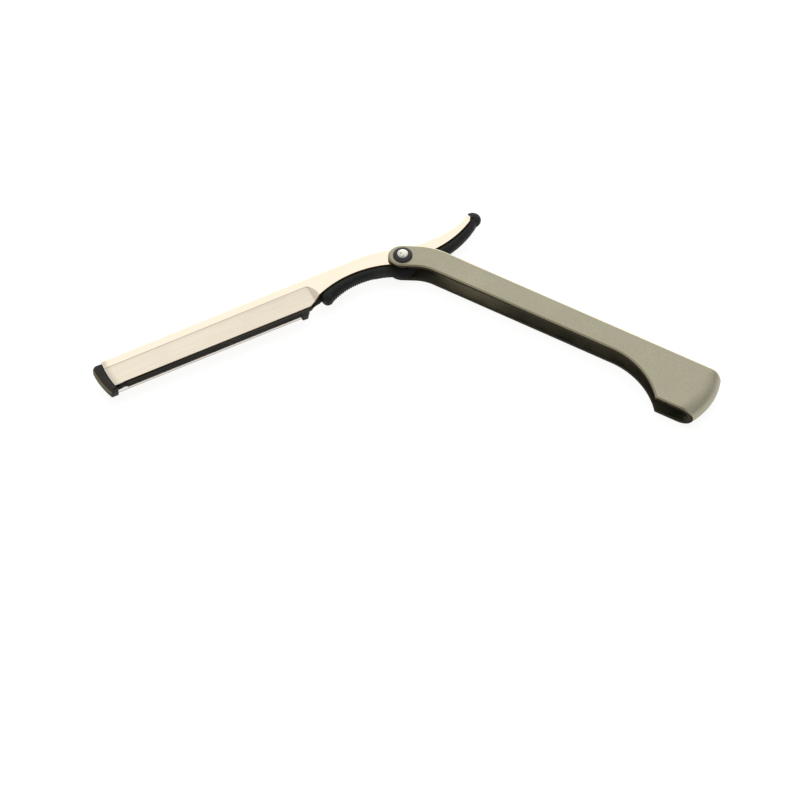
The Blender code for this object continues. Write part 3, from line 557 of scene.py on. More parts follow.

# Rolled outer corner, drawn fine by the blanking die, with a painted shade line on the near side where it
# leaves the face. It has a painted highlight along the far side and is narrow on the lower plate. It is
# painted dark as shade on the lower plate and where it faces down towards the near side.
rolled_corner, shader, plan = finish_of("rolled_corner", 0.26, 1.0)
lines = noise(stretched(plan, CORNER_LINES))
_, side, tilt = facing_of(shader)
tone = shaded(lines, rolled_corner_colour, 0.82, 1.15)
shade_line = times(ramp(tilt, *SHADE_LINE_TILT), ramp(tilt, *SHADE_LINE_END_TILT))
shade_line = times(shade_line, ramp(side, *SHADE_LINE_SIDE, 0.0, SHADE_LINE_SHARE))
tone = mixed(shade_line, tone, corner_shade_line_colour)
tone = mixed(ramp(side, *HIGHLIGHT_SIDE, 0.0, HIGHLIGHT_SHARE), tone, corner_highlight_colour)
under = times(ramp(tilt, *UNDER_SHADE_TILT), ramp(side, *UNDER_SHADE_SIDE))
under = calculate("MAXIMUM", under, ramp(axes(plan)["Z"], *UNDER_SHADE_HEIGHT))
dress(shader, mixed(under, tone, cut_edge_shade_colour), ramp(lines, *NOISE_RANGE, 0.22, 0.34), lines, strength=0.2)

handle = place("handle_sheet", grow_handle, HANDLE_TURN)
coat(handle, satin_face, satin_inside, cut_edge, rolled_corner)
folded_sheet(handle, PLATE_THICKNESS)
round_between(handle, 0, 2, ROLLED_CORNER, 6, finish=3, share_at=corner_share)
round_between(handle, 1, 2, INNER_CORNER, 2, finish=2)
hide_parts("handle_strip")
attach(handle, "handle")

# Rivet: one steel rivet holds the razor together. Its polished domed heads are closed over the
# cup washers by a spinning tool, which leaves two small dimples in each head.
RIVET_RADIUS = 0.00125
RIVET_HEAD_RADIUS = 0.00165
RIVET_HEAD_TOP = 0.0048
RIVET_HEAD_FOOT = 0.00435
RIVET_UNDERCUT = 0.00004
RIVET_FLAT_RADIUS = 0.0006
RIVET_FLAT_RINGS = 6
RIVET_RINGS = 14
TOOL_MARKS = ((-0.00036, -0.00050, 0.00022, 0.00028), (0.00058, -0.00062, 0.00018, 0.00014))
SPUN_SEGMENTS = 72
POLISH_DEPTH = 0.00001

rivet_colour = (0.80, 0.785, 0.71)
rivet_scratch_colour = (0.62, 0.60, 0.56)
dimple_shade_colour = (0.10, 0.09, 0.075)


def spun(name, profile, turn):
    """A profile of (radius, height) points turned about the pivot's axis."""

    def draw(grown):
        points = [grown.verts.new((radius, 0, z)) for radius, z in profile]
        for first, second in zip(points, points[1:]):
            grown.edges.new((first, second))
        if profile[0][0] > 0:
            grown.edges.new((points[-1], points[0]))

    made = place(name, draw, turn)
    screw = made.modifiers.new("spin", "SCREW")
    screw.steps = SPUN_SEGMENTS
    screw.render_steps = SPUN_SEGMENTS
    screw.use_merge_vertices = True
    screw.merge_threshold = WELD
    screw.use_normal_calculate = True
    return fixed(made)


def dome(inner, outer, foot, top, steps):
    """Points of a quarter-ellipse from the inner top to the outer foot."""
    return [
        (share_between(inner, outer, math.sin(angle)), foot + (top - foot) * math.cos(angle))
        for angle in quarter_turn(steps)
    ]


def mask_of(shader, title):
    """A value painted on the mesh by the code that makes it."""
    return node(shader.id_data, "ShaderNodeAttribute", attribute_name=title).outputs["Fac"]


def length_of(vector):
    """A vector's length."""
    return node(vector.id_data, "ShaderNodeVectorMath", {0: vector}, operation="LENGTH").outputs["Value"]


def turned_lines(value, per_metre):
    """The fine lines that a lathe leaves, which follow a radius or a height."""
    inputs = {"W": times(value, per_metre)}
    return node(value.id_data, "ShaderNodeTexNoise", inputs, noise_dimensions="1D").outputs[0]


head = [(RIVET_FLAT_RADIUS * i / RIVET_FLAT_RINGS, RIVET_HEAD_TOP) for i in range(RIVET_FLAT_RINGS + 1)]
head += dome(RIVET_FLAT_RADIUS, RIVET_HEAD_RADIUS, RIVET_HEAD_FOOT, RIVET_HEAD_TOP, RIVET_RINGS)
head += [(RIVET_RADIUS, RIVET_HEAD_FOOT - RIVET_UNDERCUT)]
rivet = spun("rivet_body", head + [(radius, -z) for radius, z in reversed(head)], HANDLE_TURN)
struck = rivet.data.attributes.new("struck", "FLOAT", "POINT")
for vertex in rivet.data.vertices:
    x, y, z = vertex.co
    for mark_x, mark_y, mark_radius, mark_depth in TOOL_MARKS:
        if abs(z) > RIVET_HEAD_FOOT:
            closeness = math.exp(-((math.hypot(x - mark_x, y - mark_y) / mark_radius) ** 2))
            vertex.co.z -= math.copysign(mark_depth * closeness, z)
            struck.data[vertex.index].value = max(struck.data[vertex.index].value, closeness)

rivet_finish, shader, plan = finish_of("polished_rivet", 0.14, 1.0)
lines = turned_lines(length_of(plan), 14000.0)
scratches, _ = patterns(marks, plan, 0.35)
tone = mixed(scratches, shaded(lines, rivet_colour, 0.93), rivet_scratch_colour)
# The dimples are painted dark as shade.
tone = mixed(ramp(mask_of(shader, "struck"), 0.25, 0.85), tone, dimple_shade_colour)
dress(shader, tone, ramp(lines, *NOISE_RANGE, 0.10, 0.20), lines, strength=0.15, depth=POLISH_DEPTH)
coat(rivet, rivet_finish)
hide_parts("pivot_rivet")
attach(rivet, "handle")

# Cup washers: a black domed collar of pressed steel under each rivet head. They are enamelled.
CUP_BORE = 0.0013
CUP_RADIUS = 0.0030
CUP_RIM = 0.0002
CUP_FOOT = 0.0036
CUP_FOOT_CORNER = 0.00004
CUP_TOP = 0.0043
CUP_RINGS = 12

enamel_colour = (0.012, 0.012, 0.0125)
enamel_scratch_colour = (0.07, 0.07, 0.07)

enamel, shader, plan = finish_of("black_enamel", 0.3, 0.0, specular=0.4)
grain, cloud = patterns(speckle, plan, 9000.0)
scratches, _ = patterns(marks, plan, 0.4)
tone = mixed(scratches, shaded(grain, enamel_colour, 1.0, 1.6), enamel_scratch_colour)
dress(shader, tone, between(0.26, 0.38, cloud), grain, strength=0.15, depth=POLISH_DEPTH)

cup_line = [(CUP_BORE, CUP_TOP), (RIVET_HEAD_RADIUS, CUP_TOP)]
cup_line += dome(RIVET_HEAD_RADIUS, CUP_RADIUS, CUP_FOOT + CUP_RIM, CUP_TOP, CUP_RINGS)
cup_line += [(CUP_RADIUS, CUP_FOOT + CUP_FOOT_CORNER), (CUP_RADIUS - CUP_FOOT_CORNER, CUP_FOOT)]
cup_line += [(CUP_BORE, CUP_FOOT)]
lower_line = [(radius, -z) for radius, z in reversed(cup_line)]
for cup_name, cup_node, line in (
    ("upper_cup", "upper_cup_washer", cup_line),
    ("lower_cup", "lower_cup_washer", lower_line),
):
    cup = spun(cup_name, line, HANDLE_TURN)
    coat(cup, enamel)
    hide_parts(cup_node)
    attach(cup, "handle")

# Friction washers and bush: thin nylon rings that the arm turns between, and the brass bush it
# turns on. Their shapes are right as packed, so they stay, with a worn, drawn finish each.
nylon_colours = ((0.70, 0.68, 0.62), (0.80, 0.78, 0.73))
nylon_scratch_colour = (0.50, 0.48, 0.43)
brass_colours = ((0.62, 0.43, 0.18), (0.78, 0.58, 0.28))

nylon, shader, plan = finish_of("worn_nylon", 0.5, 0.0)
grain, cloud = patterns(speckle, plan, 4000.0)
scratches, _ = patterns(marks, plan, 0.6)
tone = mixed(scratches, mixed(cloud, *nylon_colours), nylon_scratch_colour)
dress(shader, tone, between(0.42, 0.6, grain))

turned_brass, shader, plan = finish_of("turned_brass", 0.3, 1.0)
lines = turned_lines(axes(plan)["Z"], 16000.0)
dress(shader, mixed(lines, *brass_colours), ramp(lines, *NOISE_RANGE, 0.24, 0.4))

coat(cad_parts["upper_friction_washer"], nylon)
coat(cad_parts["lower_friction_washer"], nylon)
coat(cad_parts["pivot_bush"], turned_brass)

# Cover: the arm's outer skin is one stainless sheet, 0.4 mm thick, folded over the spine and open
# along the cutting edge. A panel is pressed in on each side with a small step round it. The band
# and shank are mirror polished, and the panel keeps fine lines along the arm.
ARM_TURN = math.radians(207.7)
SHEET_THICKNESS = 0.0004
SHANK_HALF = 0.0022
TIP_HALF = 0.0015
PANEL_EDGE_HALF = 0.00115
SPINE_Y = -0.00715
COVER_EDGE_Y = 0.0034
COVER_END = 0.09905
COVER_TANG_X = -0.0264
TANG_END_ROUNDING = 0.0009
TANG_END_REACH = 4 * TANG_END_ROUNDING
TANG_END_LIMIT = 1.2
FOLD_RADIUS = 0.0012
FOLD_LIMIT_SHARE = 0.35
FOLD_STEPS_ACROSS = 10
BAND_WIDTH = 0.00345
BAND_LIMIT_SHARE = 0.5
PANEL_HEEL_X = 0.0291
PANEL_HEEL_Y = 0.0008
PANEL_HEEL_BOWS = (0.0016, 0.0021)
PANEL_HEEL_LIMIT = 1.6
PANEL_HEEL_FOOT = 0.0018
PANEL_HEEL_CORNER = 0.0008
PANEL_HEEL_REACH = 0.006
PANEL_HEEL_MARGIN = 0.0006
PANEL_HEEL_CREASE = 0.00006
PANEL_SLOPE_LENGTH = 0.0021
PANEL_SLOPE_LEAST = 0.00025
PANEL_STEP_DEPTH = 0.00009
PANEL_STEP_WIDTH = 0.00040
PANEL_STEP_SHARES = [i / 4 for i in range(5)]
PANEL_SHARES = [0.06] + [0.12 + 0.88 * i / 14 for i in range(15)]
PANEL_DISH = 0.00005
PANEL_DISH_SHARE = 0.14
COVER_BOW_RADIUS = 0.030
COVER_BOW_SHARE = 0.3
SHANK_ARCH = (0.0159, -0.0016, 0.0328)
TANG_EDGE_ARC = (-0.0077, 0.00155, 0.033)
TANG_SPINE_ARC = (-0.0117, -0.0034, 0.035)
SPINE_FALL_START = 0.011
SPINE_FALL_END = -0.009
COVER_BOSS_RADIUS = 0.0038
COVER_BOSS_REACH = 0.0056
BOSS_BLEND = 0.001
SHEET_CORNER = 0.00018
CURVED_STEP = 0.0003
BOSS_STEP = 0.0004
SHANK_STEP = 0.0009
PANEL_START_LENGTH = 0.006
PANEL_START_STEP = 0.0006
PANEL_STEP = 0.0025
COVER_SHARP_ANGLE = math.radians(50)
SKIN_LINE_DEPTH = 0.000012
BRIGHT_EDGE_X = (0.0955, 0.0965)

polished_colour = (0.955, 0.828, 0.686)
pressed_colour = (0.800, 0.735, 0.620)
skin_scratch_colour = (0.80, 0.74, 0.62)
sheet_inside_colour = (0.30, 0.28, 0.24)
sheet_edge_shade_colour = (0.13, 0.095, 0.045)
bright_edge_colour = (0.92, 0.91, 0.90)


def within(share):
    """A share kept between 0 and 1."""
    return min(max(share, 0.0), 1.0)


def arc_y(x, arc, side):
    """An arc given by its apex's place and its radius. It falls away towards side."""
    centre_x, apex_y, radius = arc
    reach = min(abs(x - centre_x), radius * 0.98)
    return apex_y + side * (radius - math.sqrt(radius**2 - reach**2))


def boss_y(x, radius):
    """The edge of the round boss about the pivot, falling away beside it."""
    return math.sqrt(max(radius**2 - x**2, 0.0)) - max(abs(x) - radius, 0.0)


def blend_max(first, second):
    """The larger of two edges, with the corner between them rounded."""
    return (first + second + math.hypot(first - second, BOSS_BLEND)) / 2


def spine_y(x):
    """The folded spine: straight, then falling past the pivot and up along the tang."""
    tang = arc_y(min(x, TANG_SPINE_ARC[0]), TANG_SPINE_ARC, -1)
    return share_between(tang, SPINE_Y, ease((x - SPINE_FALL_END) / (SPINE_FALL_START - SPINE_FALL_END)))


def cover_edge_y(x):
    """The open edge: along the blade, over the finger arch, round the boss, up the tang."""
    shank = min(arc_y(x, SHANK_ARCH, 1), COVER_EDGE_Y)
    return blend_max(shank if x > 0 else arc_y(x, TANG_EDGE_ARC, -1), boss_y(x, COVER_BOSS_RADIUS))


def panel_share(x):
    """0 on the shank, 1 on the pressed panel, and a flat slope between them."""
    return within((x - PANEL_HEEL_X) / PANEL_SLOPE_LENGTH)


def band_half(x):
    """Half the thickness of the spine band, which thins towards the tip."""
    share = within((x - PANEL_HEEL_X) / (COVER_END - PANEL_HEEL_X))
    return share_between(SHANK_HALF, TIP_HALF, share)


def cover_section(x, pressed):
    """The cover's outer face across the arm, as y, z and the panel's share at each point."""
    top, edge, thick = spine_y(x), cover_edge_y(x), band_half(x)
    fold = min(FOLD_RADIUS, (edge - top) * FOLD_LIMIT_SHARE)
    crease = top + fold + min(BAND_WIDTH - FOLD_RADIUS, (edge - top - fold) * BAND_LIMIT_SHARE)
    row = [(top, 0.0, 0.0)]
    for angle in [0.0] + quarter_turn(FOLD_STEPS_ACROSS):
        row.append((top + fold * (1 - math.cos(angle)), thick - fold * (1 - math.sin(angle)), 0.0))
    row.append((share_between(top + fold, crease, 0.5), thick, 0.0))
    row.append((crease - PANEL_STEP_WIDTH / 2, thick, 0.0))
    edge_half = share_between(thick, PANEL_EDGE_HALF, pressed)
    start = crease + PANEL_STEP_WIDTH / 2
    for share in PANEL_STEP_SHARES:
        y = share_between(crease - PANEL_STEP_WIDTH / 4, start, share)
        row.append((y, thick - PANEL_STEP_DEPTH * pressed * ease(share), pressed * share))
    for share in PANEL_SHARES:
        drop = (thick - edge_half) * share + PANEL_STEP_DEPTH * pressed * (1 - share)
        drop += PANEL_DISH * pressed * (1 - math.exp(-share / PANEL_DISH_SHARE)) * (1 - share)
        row.append((share_between(start, edge, share), thick - drop, pressed))
    return row


def heel_bow(y):
    """How far the panel's heel outline lies behind its foremost point, across the arm."""
    if y < PANEL_HEEL_Y:
        rise = (PANEL_HEEL_Y - y) / (PANEL_HEEL_Y - SPINE_Y - BAND_WIDTH)
        return PANEL_HEEL_BOWS[0] * rise**2 + PANEL_HEEL_CORNER * rise**8
    return PANEL_HEEL_BOWS[1] * ((y - PANEL_HEEL_Y) / PANEL_HEEL_FOOT) ** 2


def end_bow(y):
    """How far the cover's tip end curves back from its middle, across the arm."""
    return (y - (SPINE_Y + COVER_EDGE_Y) / 2) ** 2 / (2 * COVER_BOW_RADIUS)


def column_bow(x, y):
    """Bends the columns to follow the panel's heel and the cover's two rounded ends."""
    bow = min(heel_bow(max(y, SPINE_Y + BAND_WIDTH)), PANEL_HEEL_LIMIT * PANEL_HEEL_BOWS[1])
    slope = max(PANEL_SLOPE_LENGTH - bow, PANEL_SLOPE_LEAST)
    past = x - PANEL_HEEL_X
    if past <= 0:
        heel = bow * ease(past / PANEL_HEEL_REACH + 1)
    elif past < PANEL_SLOPE_LENGTH:
        heel = bow + past * (slope / PANEL_SLOPE_LENGTH - 1)
    else:
        heel = (bow + slope - PANEL_SLOPE_LENGTH) * ease(1 - (past - PANEL_SLOPE_LENGTH) / PANEL_HEEL_REACH)
    bow_length = (COVER_END - PANEL_HEEL_X) * COVER_BOW_SHARE
    tip = ease((x - COVER_END + bow_length) / bow_length) * end_bow(y)
    tang_middle = (spine_y(COVER_TANG_X) + cover_edge_y(COVER_TANG_X)) / 2
    tang_half = (cover_edge_y(COVER_TANG_X) - spine_y(COVER_TANG_X)) / 2
    tang = ease((COVER_TANG_X - x) / TANG_END_REACH + 1) * TANG_END_ROUNDING
    return heel - tip + tang * min(((y - tang_middle) / tang_half) ** 2, TANG_END_LIMIT)


def cover_row(x):
    """One bowed row of the cover's outer face, with the panel's share at each point."""
    row = []
    for at, (nominal_y, _, _) in enumerate(cover_section(x, panel_share(x))):
        bowed_x = x + column_bow(x, nominal_y)
        row.append((bowed_x, *cover_section(bowed_x, panel_share(x))[at]))
    return row


def grow_cover(grown):
    """The cover's outer face on one side, from the tang's end to the tip's end."""
    slope_end = PANEL_HEEL_X + PANEL_SLOPE_LENGTH
    places = [COVER_TANG_X]
    for end, longest in (
        (COVER_TANG_X + TANG_END_REACH, CURVED_STEP),
        (-COVER_BOSS_REACH, SHANK_STEP),
        (COVER_BOSS_REACH, BOSS_STEP),
        (PANEL_HEEL_X - PANEL_HEEL_MARGIN, SHANK_STEP),
        (PANEL_HEEL_X - PANEL_HEEL_CREASE, PANEL_HEEL_MARGIN),
        (PANEL_HEEL_X, PANEL_HEEL_MARGIN),
        (slope_end, CURVED_STEP),
        (slope_end + PANEL_HEEL_CREASE, PANEL_HEEL_MARGIN),
        (slope_end + PANEL_HEEL_MARGIN, PANEL_HEEL_MARGIN),
        (slope_end + PANEL_HEEL_MARGIN + PANEL_START_LENGTH, PANEL_START_STEP),
        (COVER_END, PANEL_STEP),
    ):
        places += stations(places[-1], end, longest)[1:]
    rows = [cover_row(x) for x in places]
    pressed = grown.verts.layers.float.new("pressed")
    grid = loft(grown, [[point[:3] for point in row] for row in rows])
    for line, row in zip(grid, rows):
        for vertex, point in zip(line, row):
            vertex[pressed] = point[3]


# Lines drawn along a piece by a belt: long thin streaks along x, in a fine and a coarse size
drawn_lines, vector, per_metre, results = pattern_group(
    "drawn_lines", "Lines per metre", 4000.0, ("Fine", "Coarse")
)
for title, count_share, line_length in (("Fine", 1.0, 60.0), ("Coarse", 0.22, 25.0)):
    across = times(per_metre, count_share)
    inputs = {"X": line_length, "Y": across, "Z": across}
    stretch = node(drawn_lines, "ShaderNodeCombineXYZ", inputs).outputs[0]
    fill(results[title], ramp(noise(stretched(vector, stretch)), *NOISE_RANGE))

# Polished skin, with the pressed panel's lines
polished_skin, shader, plan = finish_of("polished_cover", 0.12, 1.0)
pressed = mask_of(shader, "pressed")
fine, coarse = patterns(drawn_lines, plan, 3600.0)
scratches, smudges = patterns(marks, plan, 0.22)
panel_tone = shaded(mixed(0.45, fine, coarse), pressed_colour, 0.965, 1.035)
tone = mixed(pressed, shaded(coarse, polished_colour, 0.985), panel_tone)
rough = plus(between(0.13, 0.27, pressed), times(smudges, 0.35))
relief = times(fine, between(0.12, 1.0, pressed))
tone = mixed(scratches, tone, skin_scratch_colour)
dress(shader, tone, rough, relief, strength=0.12, depth=SKIN_LINE_DEPTH)

# Inside of the cover, unpolished
cover_inside, shader, plan = finish_of("rolled_sheet_inside", 0.45, 1.0)
fine, coarse = patterns(drawn_lines, plan, 5000.0)
dress(shader, shaded(fine, sheet_inside_colour, 0.85), between(0.38, 0.52, coarse))

# Cut edge of the cover, painted dark brown as shade, and bright at the tip end
cover_rim, shader, plan = finish_of("cover_cut_edge", 0.3, 1.0)
fine, coarse = patterns(drawn_lines, plan, 9000.0)
tone = shaded(fine, sheet_edge_shade_colour, 0.8)
tone = mixed(ramp(axes(plan)["X"], *BRIGHT_EDGE_X), tone, bright_edge_colour)
dress(shader, tone, between(0.24, 0.38, coarse))

cover = place("cover_skin", grow_cover, ARM_TURN)
coat(cover, polished_skin, cover_inside, cover_rim)
folded_sheet(cover, SHEET_THICKNESS)
round_between(cover, 0, 2, SHEET_CORNER, 2, finish=2, sharp=COVER_SHARP_ANGLE)
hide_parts("steel_cover")
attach(cover, "arm")

# Grip core: the black moulding inside the shank and tang. It stands out of the cover's open edge
# as a rounded pad for the finger and for the tang, with fine ribs across its outer part, a smooth
# lump with a gate mark at its front, and a round end that closes the tang.
CORE_HALF = 0.0021
CORE_BACK_INSET = 0.0017
CORE_LIP = 0.00015
CORE_GAP = 0.00015
CORE_STEP = 0.0005
LUMP_X = 0.0288
LUMP_LENGTH = 0.0016
LUMP_Y = 0.0041
LUMP_STEPS = 16
TONGUE_LENGTH = 0.0030
TONGUE_RISE = 0.00045
TONGUE_SHARE = 0.55
PAD_ARC = (0.0146, 0.0008, 0.0229)
PAD_GROOVE_WIDTH = 0.00034
PAD_FOOT_CORNERS = ((0.00006, 0.00012), (0.00014, 0.0))
PAD_STEPS = 16
PAD_FULLNESS = 0.7
TANG_PAD_ARC = (-0.0068, 0.0042, 0.0334)
CORE_BOSS_RADIUS = 0.0046
GATE_MARK = (0.0276, 0.0031, 0.00045, 0.00030)
PAD_RIBS = (0.0098, 0.0262, 0.00075, 0.00032)
TANG_RIBS = (-0.0262, -0.0125, 0.00055, 0.00016)
RIB_STEPS = 8
RIB_CREST = 0.8
RIB_START = 0.42
RIB_FADE = 0.25
RIB_SIDE_SHARE = 0.8
TANG_TIP_X = -0.0269
TANG_LENGTH = 0.0298
TANG_TIP_RISE = 0.0009
TANG_END_SEGMENTS = 48
PIVOT_SHADE_RADII = (0.0075, 0.0045)

grip_colour = (0.0092, 0.0100, 0.0092)
grip_cloud_colour = (0.022, 0.023, 0.021)
grip_scratch_colour = (0.045, 0.045, 0.043)
pivot_shade_colour = (0.0020, 0.0020, 0.0018)


def core_outer_y(x):
    """The pad's outer line: finger rest, round the boss, then the tang rest."""
    outer = min(arc_y(x, PAD_ARC, 1), LUMP_Y) if x > 0 else arc_y(x, TANG_PAD_ARC, -1)
    return blend_max(outer, boss_y(x, CORE_BOSS_RADIUS))


def rib_depth(x):
    """How deep the ribs' groove is at x: none on a crest and outside the ribbed stretches."""
    deepest = 0.0
    for start, end, pitch, depth in (PAD_RIBS, TANG_RIBS):
        fade = min(ease((x - start) / pitch), ease((end - x) / pitch))
        wave = 0.5 - 0.5 * math.cos(2 * math.pi * x / pitch)
        deepest = max(deepest, fade * depth * wave**RIB_CREST)
    return deepest


def core_row(x):
    """Half of the core's outline across the arm, from its back to its outer line."""
    back = spine_y(x) + CORE_BACK_INSET
    foot = cover_edge_y(x) + CORE_LIP
    cover_half = share_between(band_half(x), PANEL_EDGE_HALF, panel_share(x + PANEL_SLOPE_LENGTH))
    web = cover_half - SHEET_THICKNESS - CORE_GAP
    nose = within((x - LUMP_X + LUMP_LENGTH) / LUMP_LENGTH)
    front = math.sqrt(1 - nose**2)
    outer = share_between(foot + TONGUE_RISE, core_outer_y(min(x, LUMP_X)), front)
    half = share_between(TONGUE_SHARE * web, CORE_HALF, front)
    groove_end = foot + PAD_GROOVE_WIDTH * front
    row = [(back, 0.0), (back, web), (foot, web), (groove_end, web)]
    row += [(groove_end + rise * front, half - inset * front) for rise, inset in PAD_FOOT_CORNERS]
    foot = row[-1][0]
    for angle in quarter_turn(PAD_STEPS):
        groove = rib_depth(x) * front * ease((math.sin(angle) - RIB_START) / RIB_FADE)
        y = share_between(foot, outer, math.sin(angle)) - groove * math.sin(angle)
        z = half * math.cos(angle) ** PAD_FULLNESS - groove * math.cos(angle) * RIB_SIDE_SHARE
        row.append((y, max(z, 0.0)))
    row[-1] = (row[-1][0], 0.0)
    return [(x, y, z) for y, z in row]


def grow_core(grown):
    """Half of the core, with flat ends."""
    places = stations(TANG_TIP_X - CORE_GAP, TANG_RIBS[1], TANG_RIBS[2] / RIB_STEPS)
    places += stations(TANG_RIBS[1], PAD_RIBS[0], CORE_STEP)[1:]
    places += stations(PAD_RIBS[0], LUMP_X - LUMP_LENGTH, PAD_RIBS[2] / RIB_STEPS)[1:]
    places += [LUMP_X - LUMP_LENGTH * math.cos(angle) for angle in quarter_turn(LUMP_STEPS)]
    places += [LUMP_X + TONGUE_LENGTH / 3, LUMP_X + TONGUE_LENGTH]
    grid = loft(grown, [core_row(x) for x in places])
    grown.faces.new(grid[0])
    grown.faces.new(list(reversed(grid[-1])))


def grow_tang_end(grown):
    """The half of an ellipsoid that closes the tang, past the cover's end."""
    top, foot = spine_y(TANG_TIP_X) - TANG_TIP_RISE, core_outer_y(TANG_TIP_X)
    bmesh.ops.create_uvsphere(
        grown, u_segments=TANG_END_SEGMENTS, v_segments=TANG_END_SEGMENTS // 2, radius=1
    )
    bmesh.ops.scale(grown, vec=(TANG_LENGTH + TANG_TIP_X, (foot - top) / 2, CORE_HALF), verts=grown.verts)
    everything = grown.verts[:] + grown.edges[:] + grown.faces[:]
    cut = bmesh.ops.bisect_plane(
        grown, geom=everything, plane_co=(0, 0, 0), plane_no=(1, 0, 0), clear_outer=True
    )
    rim = [item for item in cut["geom_cut"] if isinstance(item, bmesh.types.BMEdge)]
    bmesh.ops.contextual_create(grown, geom=rim)
    bmesh.ops.translate(grown, vec=(TANG_TIP_X, (foot + top) / 2, 0), verts=grown.verts)
    bmesh.ops.recalc_face_normals(grown, faces=grown.faces)


def join_solids(piece, others, operation="UNION", sharp=SHARP_ANGLE):
    """Exact Booleans of a piece with solids that then go away."""
    for other in others:
        change = piece.modifiers.new(operation.lower(), "BOOLEAN")
        change.operation = operation
        change.solver = "EXACT"
        change.object = other
    fixed(piece, sharp)
    for other in others:
        bpy.data.objects.remove(other, do_unlink=True)


grip = place("grip_moulding", grow_core, ARM_TURN)
mirrored(grip)
join_solids(grip, [place("tang_end", grow_tang_end, ARM_TURN)])
mark_x, mark_y, mark_radius, mark_depth = GATE_MARK
for vertex in grip.data.vertices:
    if vertex.co.z > CORE_HALF / 2:
        away = math.hypot(vertex.co.x - mark_x, vertex.co.y - mark_y)
        vertex.co.z -= mark_depth * math.exp(-((away / mark_radius) ** 4))

moulded_black, shader, plan = finish_of("moulded_black", 0.5, 0.0, specular=0.17)
grain, cloud = patterns(speckle, plan, 7000.0)
scratches, smudges = patterns(marks, plan, 0.5)
tone = mixed(times(cloud, 0.3), shaded(grain, grip_colour, 0.8, 1.3), grip_cloud_colour)
tone = mixed(scratches, tone, grip_scratch_colour)
# Painted shade round the pivot: darker towards it, with the roughness raised there too.
pivot_shade = ramp(length_of(plan), *PIVOT_SHADE_RADII)
rough = plus(between(0.44, 0.56, cloud), times(pivot_shade, 0.35))
rough = calculate("SUBTRACT", rough, times(smudges, 0.3))
dress(shader, mixed(pivot_shade, tone, pivot_shade_colour), rough, grain, strength=0.3)
coat(grip, moulded_black)
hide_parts("grip_core")
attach(grip, "arm")

# Blade slider: the black moulding that carries the blade in and out of the cover's end. Its guard
# runs along the cover's edge between two end blocks, and a bowed cap closes the tip. Its thin
# strip with a bead lies inside the cover, with a slot and two studs for the blade.
SHANK_LENGTH = 0.0346
BLADE_START = 0.0368
BLADE_END = 0.0988
BLADE_BACK_Y = -0.0027
BLADE_EDGE_Y = 0.00555
BLADE_THICKNESS = 0.00025
TIP_X = 0.10225
GUARD_HALF = 0.00115
GUARD_Y = 0.0046
GUARD_ROUNDING = 0.00022
HEEL_BLOCK_LENGTH = 0.0026
TOE_START = 0.0981
BLOCK_Y = 0.0056
BLOCK_CHAMFER = 0.0002
FOOT_SHARE = 0.6
NOTCH_LENGTH = 0.0027
NOTCH_DEPTH = 0.00080
NOTCH_RAMP = 0.0005
CAP_ROUNDING = 0.00060
CAP_ROUNDING_STEPS = 5
CAP_BOW_RADIUS = 0.027
CAP_BOW_CENTRE = -0.003
CAP_BOW_STEP = 0.0006
CAP_TOP_DROP = 0.0009
CAP_CORNER = 0.0018
CAP_CORNER_STEPS = 8
CAP_END_DEPTH = 0.0003
CAP_SHOULDER = 0.0004
CAP_WIDTH = 0.0029
STRIP_HALF = 0.0006
STRIP_BACK_Y = -0.0032
STRIP_START = 0.0327
BEAD_HALF = 0.00085
BEAD_WIDTH = 0.0008
BEAD_SETBACK = 0.0001
SLOT_GAP = 0.00005
SLOT_OVERRUN = 0.001
STUD_RADIUS = 0.0011
STUD_INSET = 0.010
STUD_Y = -0.0001
STUD_STEPS = 48
CAP_HIGHLIGHT_X = (COVER_END + 0.0006, COVER_END + 0.0010)

slider_colour = (0.0088, 0.0082, 0.0056)
slider_streak_colour = (0.024, 0.022, 0.016)
slider_scratch_colour = (0.055, 0.054, 0.050)
cap_highlight_colour = (0.15, 0.12, 0.045)


def cap_outer_x(y):
    """The cap's bowed outer end."""
    return TIP_X - (y - CAP_BOW_CENTRE) ** 2 / (2 * CAP_BOW_RADIUS)


def cap_inner_x(y):
    """The cap's inner end, which follows the cover's bowed end."""
    return COVER_END + CORE_GAP - end_bow(y)


def guard_outline():
    """The outline of guard, heel block, toe block and cap, going round from the heel."""
    lip = COVER_EDGE_Y + CORE_GAP
    cap_top = SPINE_Y + CAP_TOP_DROP
    heel = SHANK_LENGTH + HEEL_BLOCK_LENGTH
    slant = (BLOCK_Y - GUARD_Y) / 2
    notch_end = TOE_START - NOTCH_LENGTH
    shoulder_y = BLOCK_Y - BLOCK_CHAMFER
    points = [
        (SHANK_LENGTH - slant, lip),
        (SHANK_LENGTH - slant, share_between(lip, GUARD_Y, FOOT_SHARE)),
        (SHANK_LENGTH, GUARD_Y),
        (SHANK_LENGTH + slant, shoulder_y),
        (SHANK_LENGTH + slant + BLOCK_CHAMFER, BLOCK_Y),
        (heel - slant / 2 - BLOCK_CHAMFER / 2, BLOCK_Y),
        (heel - slant / 2 + BLOCK_CHAMFER / 2, shoulder_y),
        (heel, GUARD_Y),
        (notch_end - NOTCH_RAMP, GUARD_Y),
        (notch_end, GUARD_Y - NOTCH_DEPTH),
        (TOE_START - slant / 2, GUARD_Y - NOTCH_DEPTH),
        (TOE_START + slant - BLOCK_CHAMFER / 2, shoulder_y),
        (TOE_START + slant + BLOCK_CHAMFER, BLOCK_Y),
    ]
    points += [(cap_outer_x(y), y) for y in stations(BLOCK_Y, cap_top + CAP_CORNER, CAP_BOW_STEP)]
    corner_x = cap_outer_x(cap_top + CAP_CORNER) - CAP_CORNER
    for angle in quarter_turn(CAP_CORNER_STEPS):
        y = cap_top + CAP_CORNER * (1 - math.sin(angle))
        points.append((corner_x + CAP_CORNER * math.cos(angle), y))
    points += [(cap_inner_x(y), y) for y in stations(cap_top, lip, CAP_BOW_STEP)]
    return points


